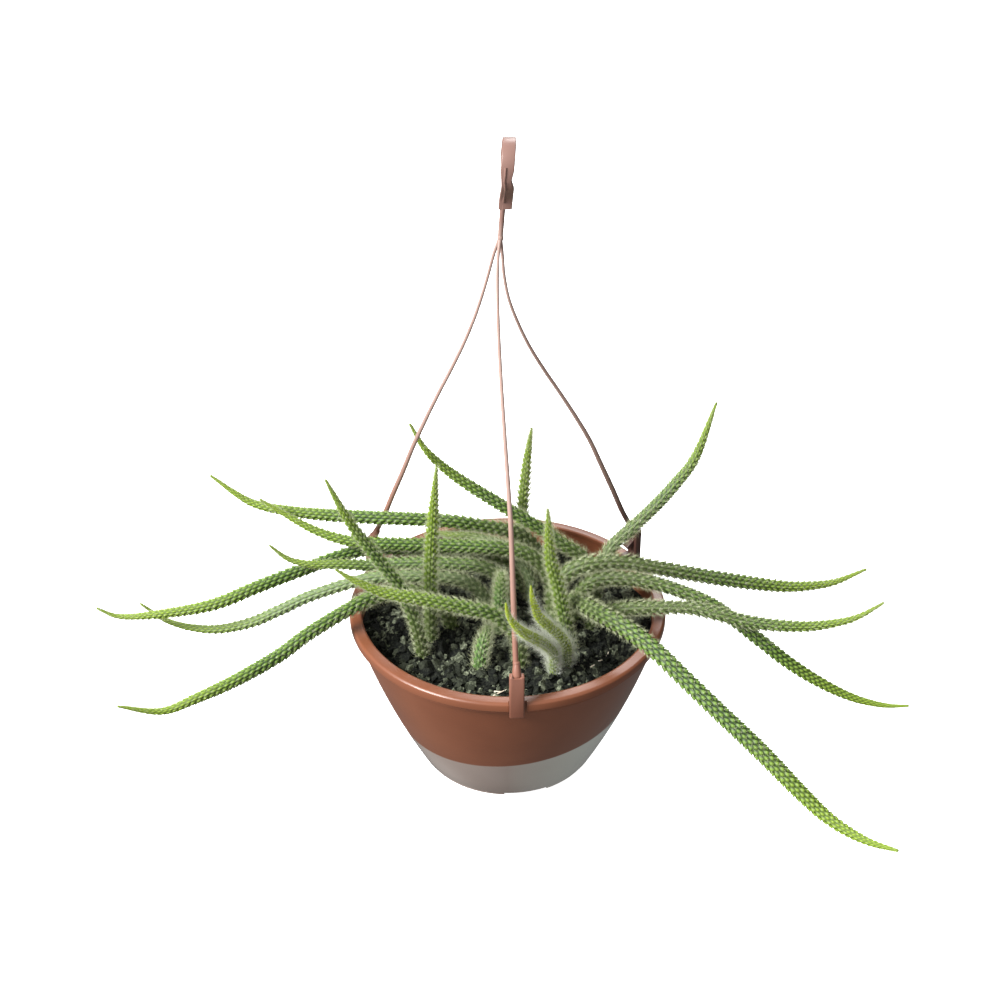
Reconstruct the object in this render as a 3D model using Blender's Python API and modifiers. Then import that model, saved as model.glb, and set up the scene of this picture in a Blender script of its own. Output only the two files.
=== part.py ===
"""Rat tail cactus in a plastic hanging bowl.

The world's origin is the point where the hook hangs from a rod or nail.
Every piece is modelled around the centre of the bowl's rim and then placed
below the origin. Metres, +Z up; the plant's stems are listed in millimetres.
"""
import math
import random

import bmesh
import bpy
from mathutils import Matrix, Vector

MM = 0.001
TAU = 2.0 * math.pi
SEED = 11

# Bowl: heights are measured from the top of the rim
RIM_R = 0.105
LIP_INNER_R = 0.097
LIP_UNDER_Z = -0.0028
SKIRT_Z = -0.0066
SKIRT_T = 0.0014
WALL_T = 0.0016
BODY_TOP_R = 0.1015
BODY_TOP_Z = -0.008
BODY_FOOT_R = 0.0615
BODY_FOOT_Z = -0.1128
BODY_BULGE = 0.003
FLOOR_Z = -0.111
FLOOR_UNDER_Z = -0.1134
FOOT_Z = -0.116
FOOT_R = 0.0596
FOOT_INNER_R = 0.0562
POT_STEPS = 36
NOTCH_ANGLES = (-78.0, 12.0, 102.0, 192.0)
NOTCH_WIDTH = 0.029
DRAIN_R = 0.0045
DRAIN_CIRCLE_R = 0.034
DRAIN_COUNT = 4

# Hanger: three wires from a junction under the hook to clips on the rim
CLIP_ANGLES = (-86.9, 33.1, 153.1)
CLIP_INNER_R = 0.1019
CLIP_OUTER_R = 0.107
CLIP_WIDTH = 0.0093
CLIP_TOP_Z = 0.022
CLIP_BOTTOM_Z = -0.0102
SLOT_WIDTH = 0.0113
SLOT_TURN = 0.38
COLLAR_R = (0.0026, 0.0021)
COLLAR_LENGTH = 0.007
COLLAR_TILT = -28.0
JUNCTION_Z = 0.264
JUNCTION_X = -0.0042
JUNCTION_R = 0.0019
BACK_WIRE_PULL = {33.1: 0.0083}
PULL_Z = (0.085, 0.205)
LEAST_SPREAD = 0.25
SIDEWAYS_BOW = {-86.9: -0.0029}
BOW_LOW_Z = 0.11
BOW_SKEW = 0.6
HOOK_LEAN = 0.09
HOOK_FOOT_Z = 0.281
HOOK_CENTRE_Z = 0.3095
HOOK_R = 0.0125
HOOK_T = 0.003
HOOK_WIDTH = 0.0078
FOOT_SHIFT = 0.0012
WAIST_RISE = 0.0225
WAIST_HALF_WIDTH = 0.003
WIRE_SIDES_RESOLUTION = 2

# Soil
SOIL_Z = -0.016
SOIL_GAP = 0.0003
SOIL_ROUGHNESS = 0.0011
SOIL_RINGS = 8
SOIL_STEPS = 30
LUMP_COUNT = 20
HOLE_DEPTH = 0.0092
HOLE_GAP = 0.0006
HOLE_SIDES = 10

# Stems
STEM_SIDES = 8
RING_STEP = 0.0072
ROOT_DEPTH_MM = 24.0
VALLEY = 0.74
PLAIN_ROOT = 0.86
TIP_LENGTH = 0.11
SPINE_LENGTH = 0.0036
SPINE_ROOT = 0.0005
SPINE_CLEARANCE = 0.0012

HANG_X = JUNCTION_X + HOOK_LEAN * (HOOK_CENTRE_Z - JUNCTION_Z)
HANG_Z = HOOK_CENTRE_Z + HOOK_R - HOOK_T / 2.0
RIM_CENTRE = Vector((-HANG_X, 0.0, -HANG_Z))

# Each stem: the radius at its tubercle tips, then the points it passes,
# from the soil to its tip, in millimetres from the rim's centre
STEMS = {
    "stem_01": (5.0, ((12, 36, -14), (6, 35, 6), (-14, 33, 17), (-46, 32, 20), (-76, 31, 23), (-103, 28, 22),
                      (-137, 14, 17), (-165, 2, 12), (-192, -6, 4), (-220, -9, -1), (-255, -10, -4),
                      (-271, -11, 4))),
    "stem_02": (4.5, ((-14, 6, -14), (-17, 6, 3), (-28, 4, 15), (-45, 3, 19), (-71, 1, 21), (-95, 0, 19),
                      (-130, 0, 6), (-152, 0, -6), (-174, 0, -17), (-200, 0, -22), (-227, 3, -18),
                      (-246, 4, -3))),
    "stem_03": (5.1, ((-38, -3, -14), (-43, -4, 0), (-56, -7, 13), (-74, -13, 18), (-93, -24, 19),
                      (-126, -44, 9), (-145, -56, 0), (-171, -71, -8), (-197, -82, -15), (-218, -88, -20),
                      (-243, -95, -10))),
    "stem_04": (5.1, ((22, 50, -14), (19, 49, 9), (7, 46, 25), (-21, 38, 37), (-40, 34, 43), (-68, 32, 46),
                      (-96, 34, 46), (-124, 37, 46), (-147, 40, 47), (-173, 45, 51), (-199, 50, 69))),
    "stem_05": (4.9, ((30, 20, -14), (28, 20, 8), (16, 20, 24), (-1, 20, 30), (-40, 21, 32), (-75, 20, 34),
                      (-97, 20, 35), (-113, 22, 37), (-129, 25, 42), (-146, 28, 51), (-164, 30, 63))),
    "stem_06": (4.6, ((0, 14, -14), (-3, 14, 8), (-16, 13, 20), (-44, 13, 23), (-71, 13, 23), (-88, 12, 22),
                      (-109, 9, 25), (-129, 6, 27), (-144, 5, 32), (-156, 4, 44))),
    "stem_07": (4.4, ((-56, -34, -14), (-59, -35, 8), (-67, -36, 36), (-75, -36, 50), (-86, -37, 69),
                      (-98, -38, 90), (-111, -38, 121))),
    "stem_08": (4.8, ((8, -44, -14), (6, -44, 6), (-8, -46, 24), (-30, -49, 33), (-57, -51, 41),
                      (-77, -52, 46), (-95, -52, 55), (-107, -52, 64))),
    "stem_09": (4.6, ((-51, -17, -14), (-50, -17, 28), (-49, -17, 52), (-47, -17, 81), (-44, -17, 117))),
    "stem_10": (4.8, ((60, 38, -14), (57, 38, 0), (50, 38, 12), (37, 38, 22), (24, 39, 32), (-2, 40, 50),
                      (-34, 43, 72), (-53, 44, 91), (-64, 45, 112))),
    "stem_11": (4.2, ((6, 64, -14), (8, 64, 6), (10, 63, 30), (11, 62, 48), (13, 61, 73), (16, 60, 100))),
    "stem_12": (4.6, ((41, -29, -14), (38, -30, 4), (35, -31, 20), (32, -31, 37), (27, -31, 58),
                      (25, -31, 95))),
    "stem_13": (4.7, ((58, 14, -14), (61, 16, 10), (69, 20, 31), (83, 26, 43), (97, 32, 55), (110, 38, 68),
                      (124, 44, 87), (136, 50, 125))),
    "stem_14": (5.6, ((30, 4, -14), (32, 4, 8), (40, 4, 22), (54, 5, 28), (75, 8, 27), (97, 10, 22),
                      (140, 16, 9), (184, 22, -2), (206, 24, -3), (223, 26, -1), (243, 28, 8))),
    "stem_15": (4.8, ((56, -4, -14), (60, -8, -2), (69, -16, 6), (84, -22, 12), (115, -27, 16),
                      (135, -31, 14), (155, -34, 10), (175, -37, 9), (195, -39, 10), (214, -41, 15),
                      (226, -42, 21), (239, -43, 32))),
    "stem_16": (5.0, ((46, 4, -14), (48, 2, 6), (56, -1, 18), (70, -4, 23), (88, -8, 24), (109, -12, 20),
                      (136, -18, 10), (165, -24, -12), (186, -29, -28), (208, -34, -41), (229, -38, -50),
                      (249, -42, -53), (265, -45, -51))),
    "stem_17": (6.0, ((34, -10, -14), (35, -12, 2), (41, -16, 13), (49, -27, 19), (56, -39, 22),
                      (63, -50, 25), (73, -60, 25), (91, -76, 20), (109, -94, 11), (127, -112, 2),
                      (152, -134, -12), (175, -156, -26), (191, -172, -33), (208, -190, -32),
                      (224, -206, -25))),
    "stem_18": (4.2, ((16, 24, -14), (15, 25, 2), (9, 28, 15), (-2, 30, 25), (-12, 30, 29), (-26, 30, 33),
                      (-36, 28, 35), (-44, 28, 37), (-53, 28, 38))),
    "young_stem_1": (3.8, ((30, -53, -14), (29, -58, 2), (25, -67, 15), (20, -77, 27), (14, -88, 39),
                           (8, -97, 50), (3, -103, 61), (0, -107, 71), (-1, -109, 80))),
    "young_stem_2": (3.8, ((38, -47, -14), (38, -53, 3), (34, -60, 17), (27, -66, 29), (20, -72, 41),
                           (17, -75, 51), (15, -77, 60), (14, -79, 71))),
    "stub_1": (4.8, ((-18, -47, -14), (-16, -42, -2), (-12, -36, 9))),
    "stub_2": (4.6, ((-6, -8, -14), (-5, -6, 8), (-4, -4, 28))),
}


def clear_scene():
    """Remove whatever the opened file holds."""
    for obj in list(bpy.data.objects):
        bpy.data.objects.remove(obj)


def make_collection(name):
    """A new collection in the scene."""
    collection = bpy.data.collections.new(name)
    bpy.context.scene.collection.children.link(collection)
    return collection


def make_material(name, colour, roughness):
    """A plain Principled material."""
    material = bpy.data.materials.new(name)
    material.use_nodes = True
    shader = material.node_tree.nodes["Principled BSDF"]
    shader.inputs["Base Color"].default_value = (*colour, 1.0)
    shader.inputs["Roughness"].default_value = roughness
    shader.inputs["Metallic"].default_value = 0.0
    return material


def add_object(name, data, collection, material=None):
    """An object placed at the rim's centre."""
    obj = bpy.data.objects.new(name, data)
    obj.location = RIM_CENTRE
    collection.objects.link(obj)
    if material:
        data.materials.append(material)
    return obj


def mark_cutter(obj):
    """Keep a cutter out of renders and show it as wire."""
    obj.hide_render = True
    obj.display_type = "WIRE"


def mesh_from_bmesh(name, bm):
    """Write a bmesh to a new mesh with its faces pointing out."""
    bmesh.ops.recalc_face_normals(bm, faces=bm.faces)
    mesh = bpy.data.meshes.new(name)
    bm.to_mesh(mesh)
    bm.free()
    return mesh


def freeze(obj):
    """Replace an object by the plain mesh it shows, with touching ends welded."""
    bpy.context.view_layer.update()
    depsgraph = bpy.context.evaluated_depsgraph_get()
    mesh = bpy.data.meshes.new_from_object(obj.evaluated_get(depsgraph))
    bm = bmesh.new()
    bm.from_mesh(mesh)
    bmesh.ops.remove_doubles(bm, verts=bm.verts, dist=0.00001)
    bmesh.ops.recalc_face_normals(bm, faces=bm.faces)
    bm.to_mesh(mesh)
    bm.free()
    name = obj.name
    material = obj.data.materials[0] if obj.data.materials else None
    collection = obj.users_collection[0]
    matrix = obj.matrix_world.copy()
    bpy.data.objects.remove(obj)
    mesh.materials.clear()
    if material:
        mesh.materials.append(material)
    frozen = bpy.data.objects.new(name, mesh)
    frozen.matrix_world = matrix
    collection.objects.link(frozen)
    return frozen


def combine(obj, others, operation, solver="EXACT"):
    """Join or cut an object with every object of a collection, then freeze it."""
    modifier = obj.modifiers.new(operation.lower(), "BOOLEAN")
    modifier.operation = operation
    modifier.operand_type = "COLLECTION"
    modifier.collection = others
    modifier.solver = solver
    frozen = freeze(obj)
    for other in list(others.objects):
        bpy.data.objects.remove(other)
    bpy.data.collections.remove(others)
    return frozen


def spin(obj, steps):
    """Turn an object's profile once around its own vertical axis."""
    modifier = obj.modifiers.new("turn", "SCREW")
    modifier.steps = steps
    modifier.render_steps = steps
    modifier.use_merge_vertices = True
    modifier.merge_threshold = 0.00001
    modifier.use_normal_calculate = True


def profile_mesh(name, points):
    """A chain of edges through (radius, height) points."""
    mesh = bpy.data.meshes.new(name)
    edges = [(i, i + 1) for i in range(len(points) - 1)]
    mesh.from_pydata([(r, 0.0, z) for r, z in points], edges, [])
    return mesh


def box(name, size, centre, angle, collection, tilt=0.0):
    """A box whose x runs outwards from the bowl's axis at a given angle."""
    bm = bmesh.new()
    bmesh.ops.create_cube(bm, size=1.0)
    bmesh.ops.scale(bm, vec=size, verts=bm.verts)
    bmesh.ops.rotate(bm, cent=(0, 0, 0), matrix=Matrix.Rotation(tilt, 3, "Y"), verts=bm.verts)
    bmesh.ops.translate(bm, vec=centre, verts=bm.verts)
    bmesh.ops.rotate(bm, cent=(0, 0, 0), matrix=Matrix.Rotation(math.radians(angle), 3, "Z"), verts=bm.verts)
    return add_object(name, mesh_from_bmesh(name, bm), collection)


def span_box(name, low, high, angle, collection):
    """The same, given by its corners: outwards, sideways, up."""
    size = [b - a for a, b in zip(low, high)]
    centre = [(a + b) / 2.0 for a, b in zip(low, high)]
    return box(name, size, centre, angle, collection)


def body_radius(z):
    """Outer radius of the bowl's wall at a height."""
    s = max(0.0, (BODY_TOP_Z - z) / (BODY_TOP_Z - BODY_FOOT_Z))
    return BODY_TOP_R + (BODY_FOOT_R - BODY_TOP_R) * s + 4.0 * BODY_BULGE * s * (1.0 - s)


def pot_profile():
    """Up the inside of the bowl, over the lip, down the outside, and under the floor."""
    inside = [(0.0, FLOOR_Z)]
    inside += [(body_radius(z) - WALL_T, z) for z in (FLOOR_Z, -0.075, -0.04, BODY_TOP_Z, LIP_UNDER_Z)]
    lip = [
        (LIP_INNER_R + 0.0002, LIP_UNDER_Z),
        (LIP_INNER_R, -0.0008),
        (LIP_INNER_R + 0.001, 0.0),
        (RIM_R - 0.0012, -0.0006),
        (RIM_R, -0.0018),
        (RIM_R, SKIRT_Z),
        (RIM_R - SKIRT_T, SKIRT_Z),
        (RIM_R - SKIRT_T, LIP_UNDER_Z),
        (BODY_TOP_R, LIP_UNDER_Z),
        (BODY_TOP_R, BODY_TOP_Z),
    ]
    outside = [(body_radius(z), z) for z in (-0.03, -0.055, -0.08, -0.1, BODY_FOOT_Z)]
    foot = [
        (FOOT_R, BODY_FOOT_Z - 0.0012),
        (FOOT_R, FOOT_Z),
        (FOOT_INNER_R, FOOT_Z),
        (FOOT_INNER_R, FLOOR_UNDER_Z),
        (0.0, FLOOR_UNDER_Z),
    ]
    return inside + lip + outside + foot


def cut_drain_holes(cutters):
    """Cylinders through the floor: one in the middle and a ring of others."""
    places = [(0.0, 0.0)]
    for i in range(DRAIN_COUNT):
        angle = TAU * (i + 0.5) / DRAIN_COUNT
        places.append((DRAIN_CIRCLE_R * math.cos(angle), DRAIN_CIRCLE_R * math.sin(angle)))
    for x, y in places:
        bm = bmesh.new()
        bmesh.ops.create_cone(bm, cap_ends=True, segments=12, radius1=DRAIN_R, radius2=DRAIN_R, depth=0.01)
        bmesh.ops.translate(bm, vec=(x, y, FLOOR_Z), verts=bm.verts)
        mark_cutter(add_object("drain_cutter", mesh_from_bmesh("drain_cutter", bm), cutters))


def make_pot(parts, plastic):
    """The bowl with its lip, its slots for the clips, and a notched foot ring."""
    pot = add_object("pot", profile_mesh("pot", pot_profile()), parts, plastic)
    spin(pot, POT_STEPS)
    pot = freeze(pot)
    cutters = make_collection("pot_cutters")
    half_slot = SLOT_WIDTH / 2.0
    for angle in CLIP_ANGLES:
        slot = span_box("slot", (BODY_TOP_R + 0.0001, -half_slot, -0.012), (0.112, half_slot, 0.004),
                        angle + SLOT_TURN, cutters)
        mark_cutter(slot)
    half_notch = NOTCH_WIDTH / 2.0
    for angle in NOTCH_ANGLES:
        notch = span_box("notch", (0.05, -half_notch, FOOT_Z - 0.002), (0.07, half_notch, FLOOR_UNDER_Z - 0.0004),
                         angle, cutters)
        mark_cutter(notch)
    cut_drain_holes(cutters)
    pot = combine(pot, cutters, "DIFFERENCE")
    pot.data.shade_smooth()
    pot.data.set_sharp_from_angle(angle=math.radians(35.0))
    return pot


def tube(name, points, radii, collection):
    """A round bar through points, with its own radius at each."""
    curve = bpy.data.curves.new(name, "CURVE")
    curve.dimensions = "3D"
    curve.bevel_depth = 1.0
    curve.bevel_resolution = WIRE_SIDES_RESOLUTION
    curve.use_fill_caps = True
    spline = curve.splines.new("POLY")
    spline.points.add(len(points) - 1)
    for target, point, radius in zip(spline.points, points, radii):
        target.co = (*point, 1.0)
        target.radius = radius
    return freeze(add_object(name, curve, collection))


def lean_x(z):
    """The sideways lean of the hanger at a height: full at the junction, none at the rim."""
    return JUNCTION_X * max(0.0, z) / JUNCTION_Z


def wire_profile():
    """Height, distance from the axis and radius along a wire, from the junction to the clip."""
    rows = ((264, 0.0, 1.1), (252, 4.5, 1.0), (238, 8.5, 1.0), (222, 13.5, 1.1), (205, 19.5, 1.15),
            (187, 27.0, 1.2), (168, 36.0, 1.25), (148, 46.0, 1.3), (126, 56.5, 1.4), (104, 66.5, 1.5),
            (82, 75.5, 1.6), (60, 85.0, 1.7), (42, 92.4, 1.8), (30, 98.2, 1.8), (22, 102.8, 1.8),
            (14, 104.4, 1.8))
    return [(z * MM, r * MM, radius * MM) for z, r, radius in rows]


def wire_inset(angle, z):
    """How far the wire at this angle is pulled in towards the axis at a height."""
    low, high = PULL_Z
    share = min(1.0, max(0.0, (z - low) / (high - low)))
    return BACK_WIRE_PULL.get(angle, 0.0) * share * share * (3.0 - 2.0 * share)


def wire_bow(angle, z):
    """How far the wire at this angle bows sideways at a height: most a third of the way down."""
    share = min(1.0, max(0.0, (JUNCTION_Z - z) / (JUNCTION_Z - BOW_LOW_Z)))
    return SIDEWAYS_BOW.get(angle, 0.0) * math.sin(math.pi * share ** BOW_SKEW)


def wire_points(angle):
    """The wire's points for the clip at a given angle."""
    turn = math.radians(angle)
    outwards = Vector((math.cos(turn), math.sin(turn), 0.0))
    sideways = Vector((-math.sin(turn), math.cos(turn), 0.0))
    points = []
    for z, r, _ in wire_profile():
        r = max(LEAST_SPREAD * r, r - wire_inset(angle, z))
        points.append(Vector((lean_x(z), 0.0, z)) + outwards * r + sideways * wire_bow(angle, z))
    return points


def make_wire(angle, collection):
    """One tapering wire of the hanger."""
    return tube("wire", wire_points(angle), [radius for _, _, radius in wire_profile()], collection)


def make_clip(angle, collection):
    """The block that a wire ends in: it sits in the rim's slot and grips it above and below."""
    half = CLIP_WIDTH / 2.0
    span_box("block", (CLIP_INNER_R, -half, CLIP_BOTTOM_Z), (CLIP_OUTER_R, half, CLIP_TOP_Z), angle, collection)
    span_box("arm", (LIP_INNER_R - 0.0022, -0.0026, 0.0004), (CLIP_INNER_R + 0.001, 0.0026, 0.003),
             angle, collection)
    span_box("catch", (LIP_INNER_R - 0.0022, -0.0026, -0.0045), (LIP_INNER_R - 0.0004, 0.0026, 0.0012),
             angle, collection)
    box("tooth", (0.008, 0.0052, 0.0026), (0.0998, 0.0, 0.0112), angle, collection, tilt=math.radians(-38.0))
    collar = bmesh.new()
    bmesh.ops.create_cone(collar, cap_ends=True, segments=10, radius1=COLLAR_R[0], radius2=COLLAR_R[1],
                          depth=COLLAR_LENGTH)
    bmesh.ops.rotate(collar, cent=(0, 0, 0), matrix=Matrix.Rotation(math.radians(COLLAR_TILT), 3, "Y"),
                     verts=collar.verts)
    bmesh.ops.translate(collar, vec=(0.1015, 0.0, CLIP_TOP_Z + 0.0025), verts=collar.verts)
    bmesh.ops.rotate(collar, cent=(0, 0, 0), matrix=Matrix.Rotation(math.radians(angle), 3, "Z"),
                     verts=collar.verts)
    add_object("collar", mesh_from_bmesh("collar", collar), collection)


def hook_path():
    """Side view of the hook from its foot round to its free end: (y, z, half width, shift to the right)."""
    half = HOOK_WIDTH / 2.0
    foot = [(0.0, 0.0, 0.0040), (0.0, 0.005, 0.0040), (-0.003, 0.01, 0.0039), (-0.0095, 0.0165, 0.0037)]
    rows = [(y, HOOK_FOOT_Z + rise, width, FOOT_SHIFT) for y, rise, width in foot]
    rows.append((-HOOK_R, HOOK_FOOT_Z + WAIST_RISE, WAIST_HALF_WIDTH, 0.0))
    for i in range(11):
        angle = math.pi - math.pi * i / 10.0
        rows.append((HOOK_R * math.cos(angle), HOOK_CENTRE_Z + HOOK_R * math.sin(angle), half, 0.0))
    rows.append((HOOK_R, HOOK_CENTRE_Z - 0.006, half * 0.85, 0.0))
    return rows


def make_hook(collection):
    """A flat strip bent over the rod, open at the back."""
    bm = bmesh.new()
    pairs = []
    for y, z, half, shift in hook_path():
        x = JUNCTION_X + HOOK_LEAN * (z - JUNCTION_Z) + shift
        pairs.append((bm.verts.new((x - half, y, z)), bm.verts.new((x + half, y, z))))
    for (a, b), (c, d) in zip(pairs, pairs[1:]):
        bm.faces.new((a, b, d, c))
    hook = add_object("hook", mesh_from_bmesh("hook", bm), collection)
    thicken = hook.modifiers.new("thickness", "SOLIDIFY")
    thicken.thickness = HOOK_T
    thicken.offset = 0.0
    thicken.use_even_offset = True
    round_off = hook.modifiers.new("edges", "BEVEL")
    round_off.width = 0.0006
    round_off.segments = 1
    round_off.limit_method = "ANGLE"
    round_off.angle_limit = math.radians(50.0)
    return freeze(hook)


def make_hanger(parts, plastic):
    """Hook, three wires and three clips, moulded in one piece."""
    pieces = make_collection("hanger_pieces")
    for angle in CLIP_ANGLES:
        make_wire(angle, pieces)
        make_clip(angle, pieces)
    make_hook(pieces)
    neck = (Vector((JUNCTION_X, 0.0, JUNCTION_Z)), Vector((JUNCTION_X + 0.0016, 0.0, HOOK_FOOT_Z + 0.003)))
    tube("neck", neck, (0.0016, 0.0016), pieces)
    bm = bmesh.new()
    bmesh.ops.create_uvsphere(bm, u_segments=10, v_segments=6, radius=JUNCTION_R)
    bmesh.ops.translate(bm, vec=(JUNCTION_X, 0.0, JUNCTION_Z - 0.001), verts=bm.verts)
    hanger = add_object("hanger", mesh_from_bmesh("hanger", bm), parts, plastic)
    hanger = combine(hanger, pieces, "UNION")
    hanger.data.shade_smooth()
    hanger.data.set_sharp_from_angle(angle=math.radians(40.0))
    return hanger


def to_metres(point):
    """A listed point, in millimetres, as a vector in metres."""
    return Vector(point) * MM


def smooth_path(points):
    """Even steps along a Catmull-Rom curve through points, and its length."""
    first = points[0] * 2.0 - points[1]
    last = points[-1] * 2.0 - points[-2]
    knots = [first, *points, last]
    fine = []
    for a, b, c, d in zip(knots, knots[1:], knots[2:], knots[3:]):
        for i in range(16):
            t = i / 16.0
            fine.append(0.5 * (2.0 * b + (c - a) * t + (2.0 * a - 5.0 * b + 4.0 * c - d) * t * t
                               + (3.0 * b - a - 3.0 * c + d) * t ** 3))
    fine.append(points[-1].copy())
    return even_steps(fine)


def even_steps(fine):
    """Resample a fine polyline at steps of about RING_STEP; returns the points and the length."""
    lengths = [0.0]
    for a, b in zip(fine, fine[1:]):
        lengths.append(lengths[-1] + (b - a).length)
    count = max(3, round(lengths[-1] / RING_STEP))
    path = []
    k = 0
    for i in range(count + 1):
        target = lengths[-1] * i / count
        while k < len(lengths) - 2 and lengths[k + 1] < target:
            k += 1
        span = lengths[k + 1] - lengths[k]
        path.append(fine[k].lerp(fine[k + 1], min(1.0, (target - lengths[k]) / span)))
    return path, lengths[-1]


def stem_path(name):
    """The stem's axis from its root, which stands in the soil, to its tip."""
    points = [to_metres(p) for p in STEMS[name][1]]
    foot = Vector((points[0].x, points[0].y, -ROOT_DEPTH_MM * MM))
    return smooth_path([foot, foot.lerp(points[0], 0.5), *points])


def taper(distance, length, blunt):
    """Share of the full radius at a distance along the stem."""
    tip = min(TIP_LENGTH, 0.45 * length)
    if blunt:
        tip = 0.012
    x = max(0.0, (distance - (length - tip)) / tip)
    return 1.0 - (0.6 if blunt else 0.9) * x ** 1.5


def ring_frames(path):
    """Two directions across the stem at each point, without twist."""
    side = Vector((1.0, 0.0, 0.0))
    frames = []
    for i, point in enumerate(path):
        ahead = path[min(i + 1, len(path) - 1)] - path[max(i - 1, 0)]
        ahead.normalize()
        side = (side - ahead * side.dot(ahead)).normalized()
        frames.append((point, side.copy(), ahead.cross(side), ahead))
    return frames


def obstacles(own):
    """Points and radii of everything a spine of this stem must not touch."""
    blocked = []
    for name, (radius, _) in STEMS.items():
        if name == own:
            continue
        path, length = stem_path(name)
        step = length / (len(path) - 1)
        for i, point in enumerate(path):
            width = radius * MM * taper(i * step, length, name.startswith("stub"))
            blocked.append((point, width))
            if i + 1 < len(path):
                blocked.append((point.lerp(path[i + 1], 0.5), width))
    for angle in CLIP_ANGLES:
        points = wire_points(angle)
        for a, b in zip(points, points[1:]):
            blocked += [(a.lerp(b, t / 4.0), 0.002) for t in range(4)]
        turn = math.radians(angle)
        for z in range(-8, 24, 4):
            blocked.append((Vector((math.cos(turn) * 0.102, math.sin(turn) * 0.102, z * MM)), 0.009))
    return blocked


def is_clear(tip, blocked):
    """Whether a spine's tip keeps away from other pieces, the soil and the rim."""
    if tip.z < SOIL_Z + 0.005:
        return False
    spread = math.hypot(tip.x, tip.y)
    if 0.09 < spread < 0.11 and tip.z < 0.004:
        return False
    return all((tip - point).length > width + SPINE_CLEARANCE for point, width in blocked)


def grow_spines(bm, peaks, blocked):
    """Raise a thin spike on chosen tubercles where it meets nothing."""
    for vert, distance in peaks:
        normal = vert.normal.copy()
        tip = vert.co + normal * SPINE_LENGTH
        if not is_clear(tip, blocked) or not is_clear(vert.co + normal * SPINE_LENGTH * 0.5, blocked):
            continue
        cut = bmesh.ops.bevel(bm, geom=[vert], offset=SPINE_ROOT, offset_type="OFFSET", segments=1,
                              affect="VERTICES")
        bmesh.ops.poke(bm, faces=cut["faces"], offset=SPINE_LENGTH)


def make_stem(name, parts, flesh, rng):
    """A tapering stem covered with staggered tubercles, some of them with a spine."""
    radius = STEMS[name][0] * MM
    path, length = stem_path(name)
    step = length / (len(path) - 1)
    blunt = name.startswith("stub")
    bm = bmesh.new()
    rings = []
    peaks = []
    for i, (point, side, across, ahead) in enumerate(ring_frames(path)[:-1]):
        width = radius * taper(i * step, length, blunt)
        ring = []
        for j in range(STEM_SIDES):
            angle = TAU * j / STEM_SIDES
            is_peak = (i + j) % 2 == 0 and point.z > SOIL_Z + 0.004
            reach = width * (1.0 if is_peak else VALLEY)
            if point.z < SOIL_Z + 0.004:
                reach = width * PLAIN_ROOT
            lift = ahead * (0.0011 if is_peak else 0.0)
            ring.append(bm.verts.new(point + lift + (side * math.cos(angle) + across * math.sin(angle)) * reach))
            if is_peak:
                peaks.append((ring[-1], i * step))
        rings.append(ring)
    tip = bm.verts.new(path[-1])
    close_stem(bm, rings, tip)
    bm.normal_update()
    chosen = choose_peaks(peaks, rng)
    grow_spines(bm, chosen, obstacles(name))
    bmesh.ops.triangulate(bm, faces=[f for f in bm.faces if len(f.verts) > 3])
    return add_object(name, mesh_from_bmesh(name, bm), parts, flesh)


def close_stem(bm, rings, tip):
    """Skin the rings with triangles that meet along the valleys, and close both ends."""
    for i, (low, high) in enumerate(zip(rings, rings[1:])):
        for j in range(STEM_SIDES):
            k = (j + 1) % STEM_SIDES
            if (i + j) % 2 == 0:
                bm.faces.new((low[j], low[k], high[j]))
                bm.faces.new((low[k], high[k], high[j]))
            else:
                bm.faces.new((low[j], low[k], high[k]))
                bm.faces.new((low[j], high[k], high[j]))
    for j in range(STEM_SIDES):
        bm.faces.new((rings[-1][j], rings[-1][(j + 1) % STEM_SIDES], tip))
    bm.faces.new(list(reversed(rings[0])))


def choose_peaks(peaks, rng):
    """One tubercle in a few gets a spine: more of them near the root, where the stems bristle."""
    chosen = []
    for vert, distance in peaks:
        share = 0.3 if distance < 0.045 else 0.14
        if rng.random() < share:
            chosen.append((vert, distance))
    return chosen


def soil_profile():
    """The plug of soil: out along the top, down beside the wall and in along the floor."""
    edge_r = body_radius(SOIL_Z) - WALL_T - SOIL_GAP - 0.0004
    top = [(edge_r * i / SOIL_RINGS, SOIL_Z) for i in range(SOIL_RINGS + 1)]
    floor_z = FLOOR_Z + SOIL_GAP
    side = [(body_radius(z) - WALL_T - SOIL_GAP - 0.0006, z) for z in (-0.05, -0.08, floor_z)]
    return top + side + [(0.0, floor_z)]


def roughen(obj, rng):
    """Lift and sink the points of the soil's surface by chance, but not at its edge."""
    for vert in obj.data.vertices:
        spread = math.hypot(vert.co.x, vert.co.y)
        if abs(vert.co.z - SOIL_Z) < 0.0001 and spread < 0.092:
            vert.co.z += rng.uniform(-SOIL_ROUGHNESS, SOIL_ROUGHNESS)
            vert.co.x += rng.uniform(-0.001, 0.001)
            vert.co.y += rng.uniform(-0.001, 0.001)


def far_from_stems(x, y, distance):
    """Whether a place on the soil is clear of every stem's root."""
    for _, points in STEMS.values():
        if math.hypot(x - points[0][0] * MM, y - points[0][1] * MM) < distance:
            return False
    return True


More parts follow.
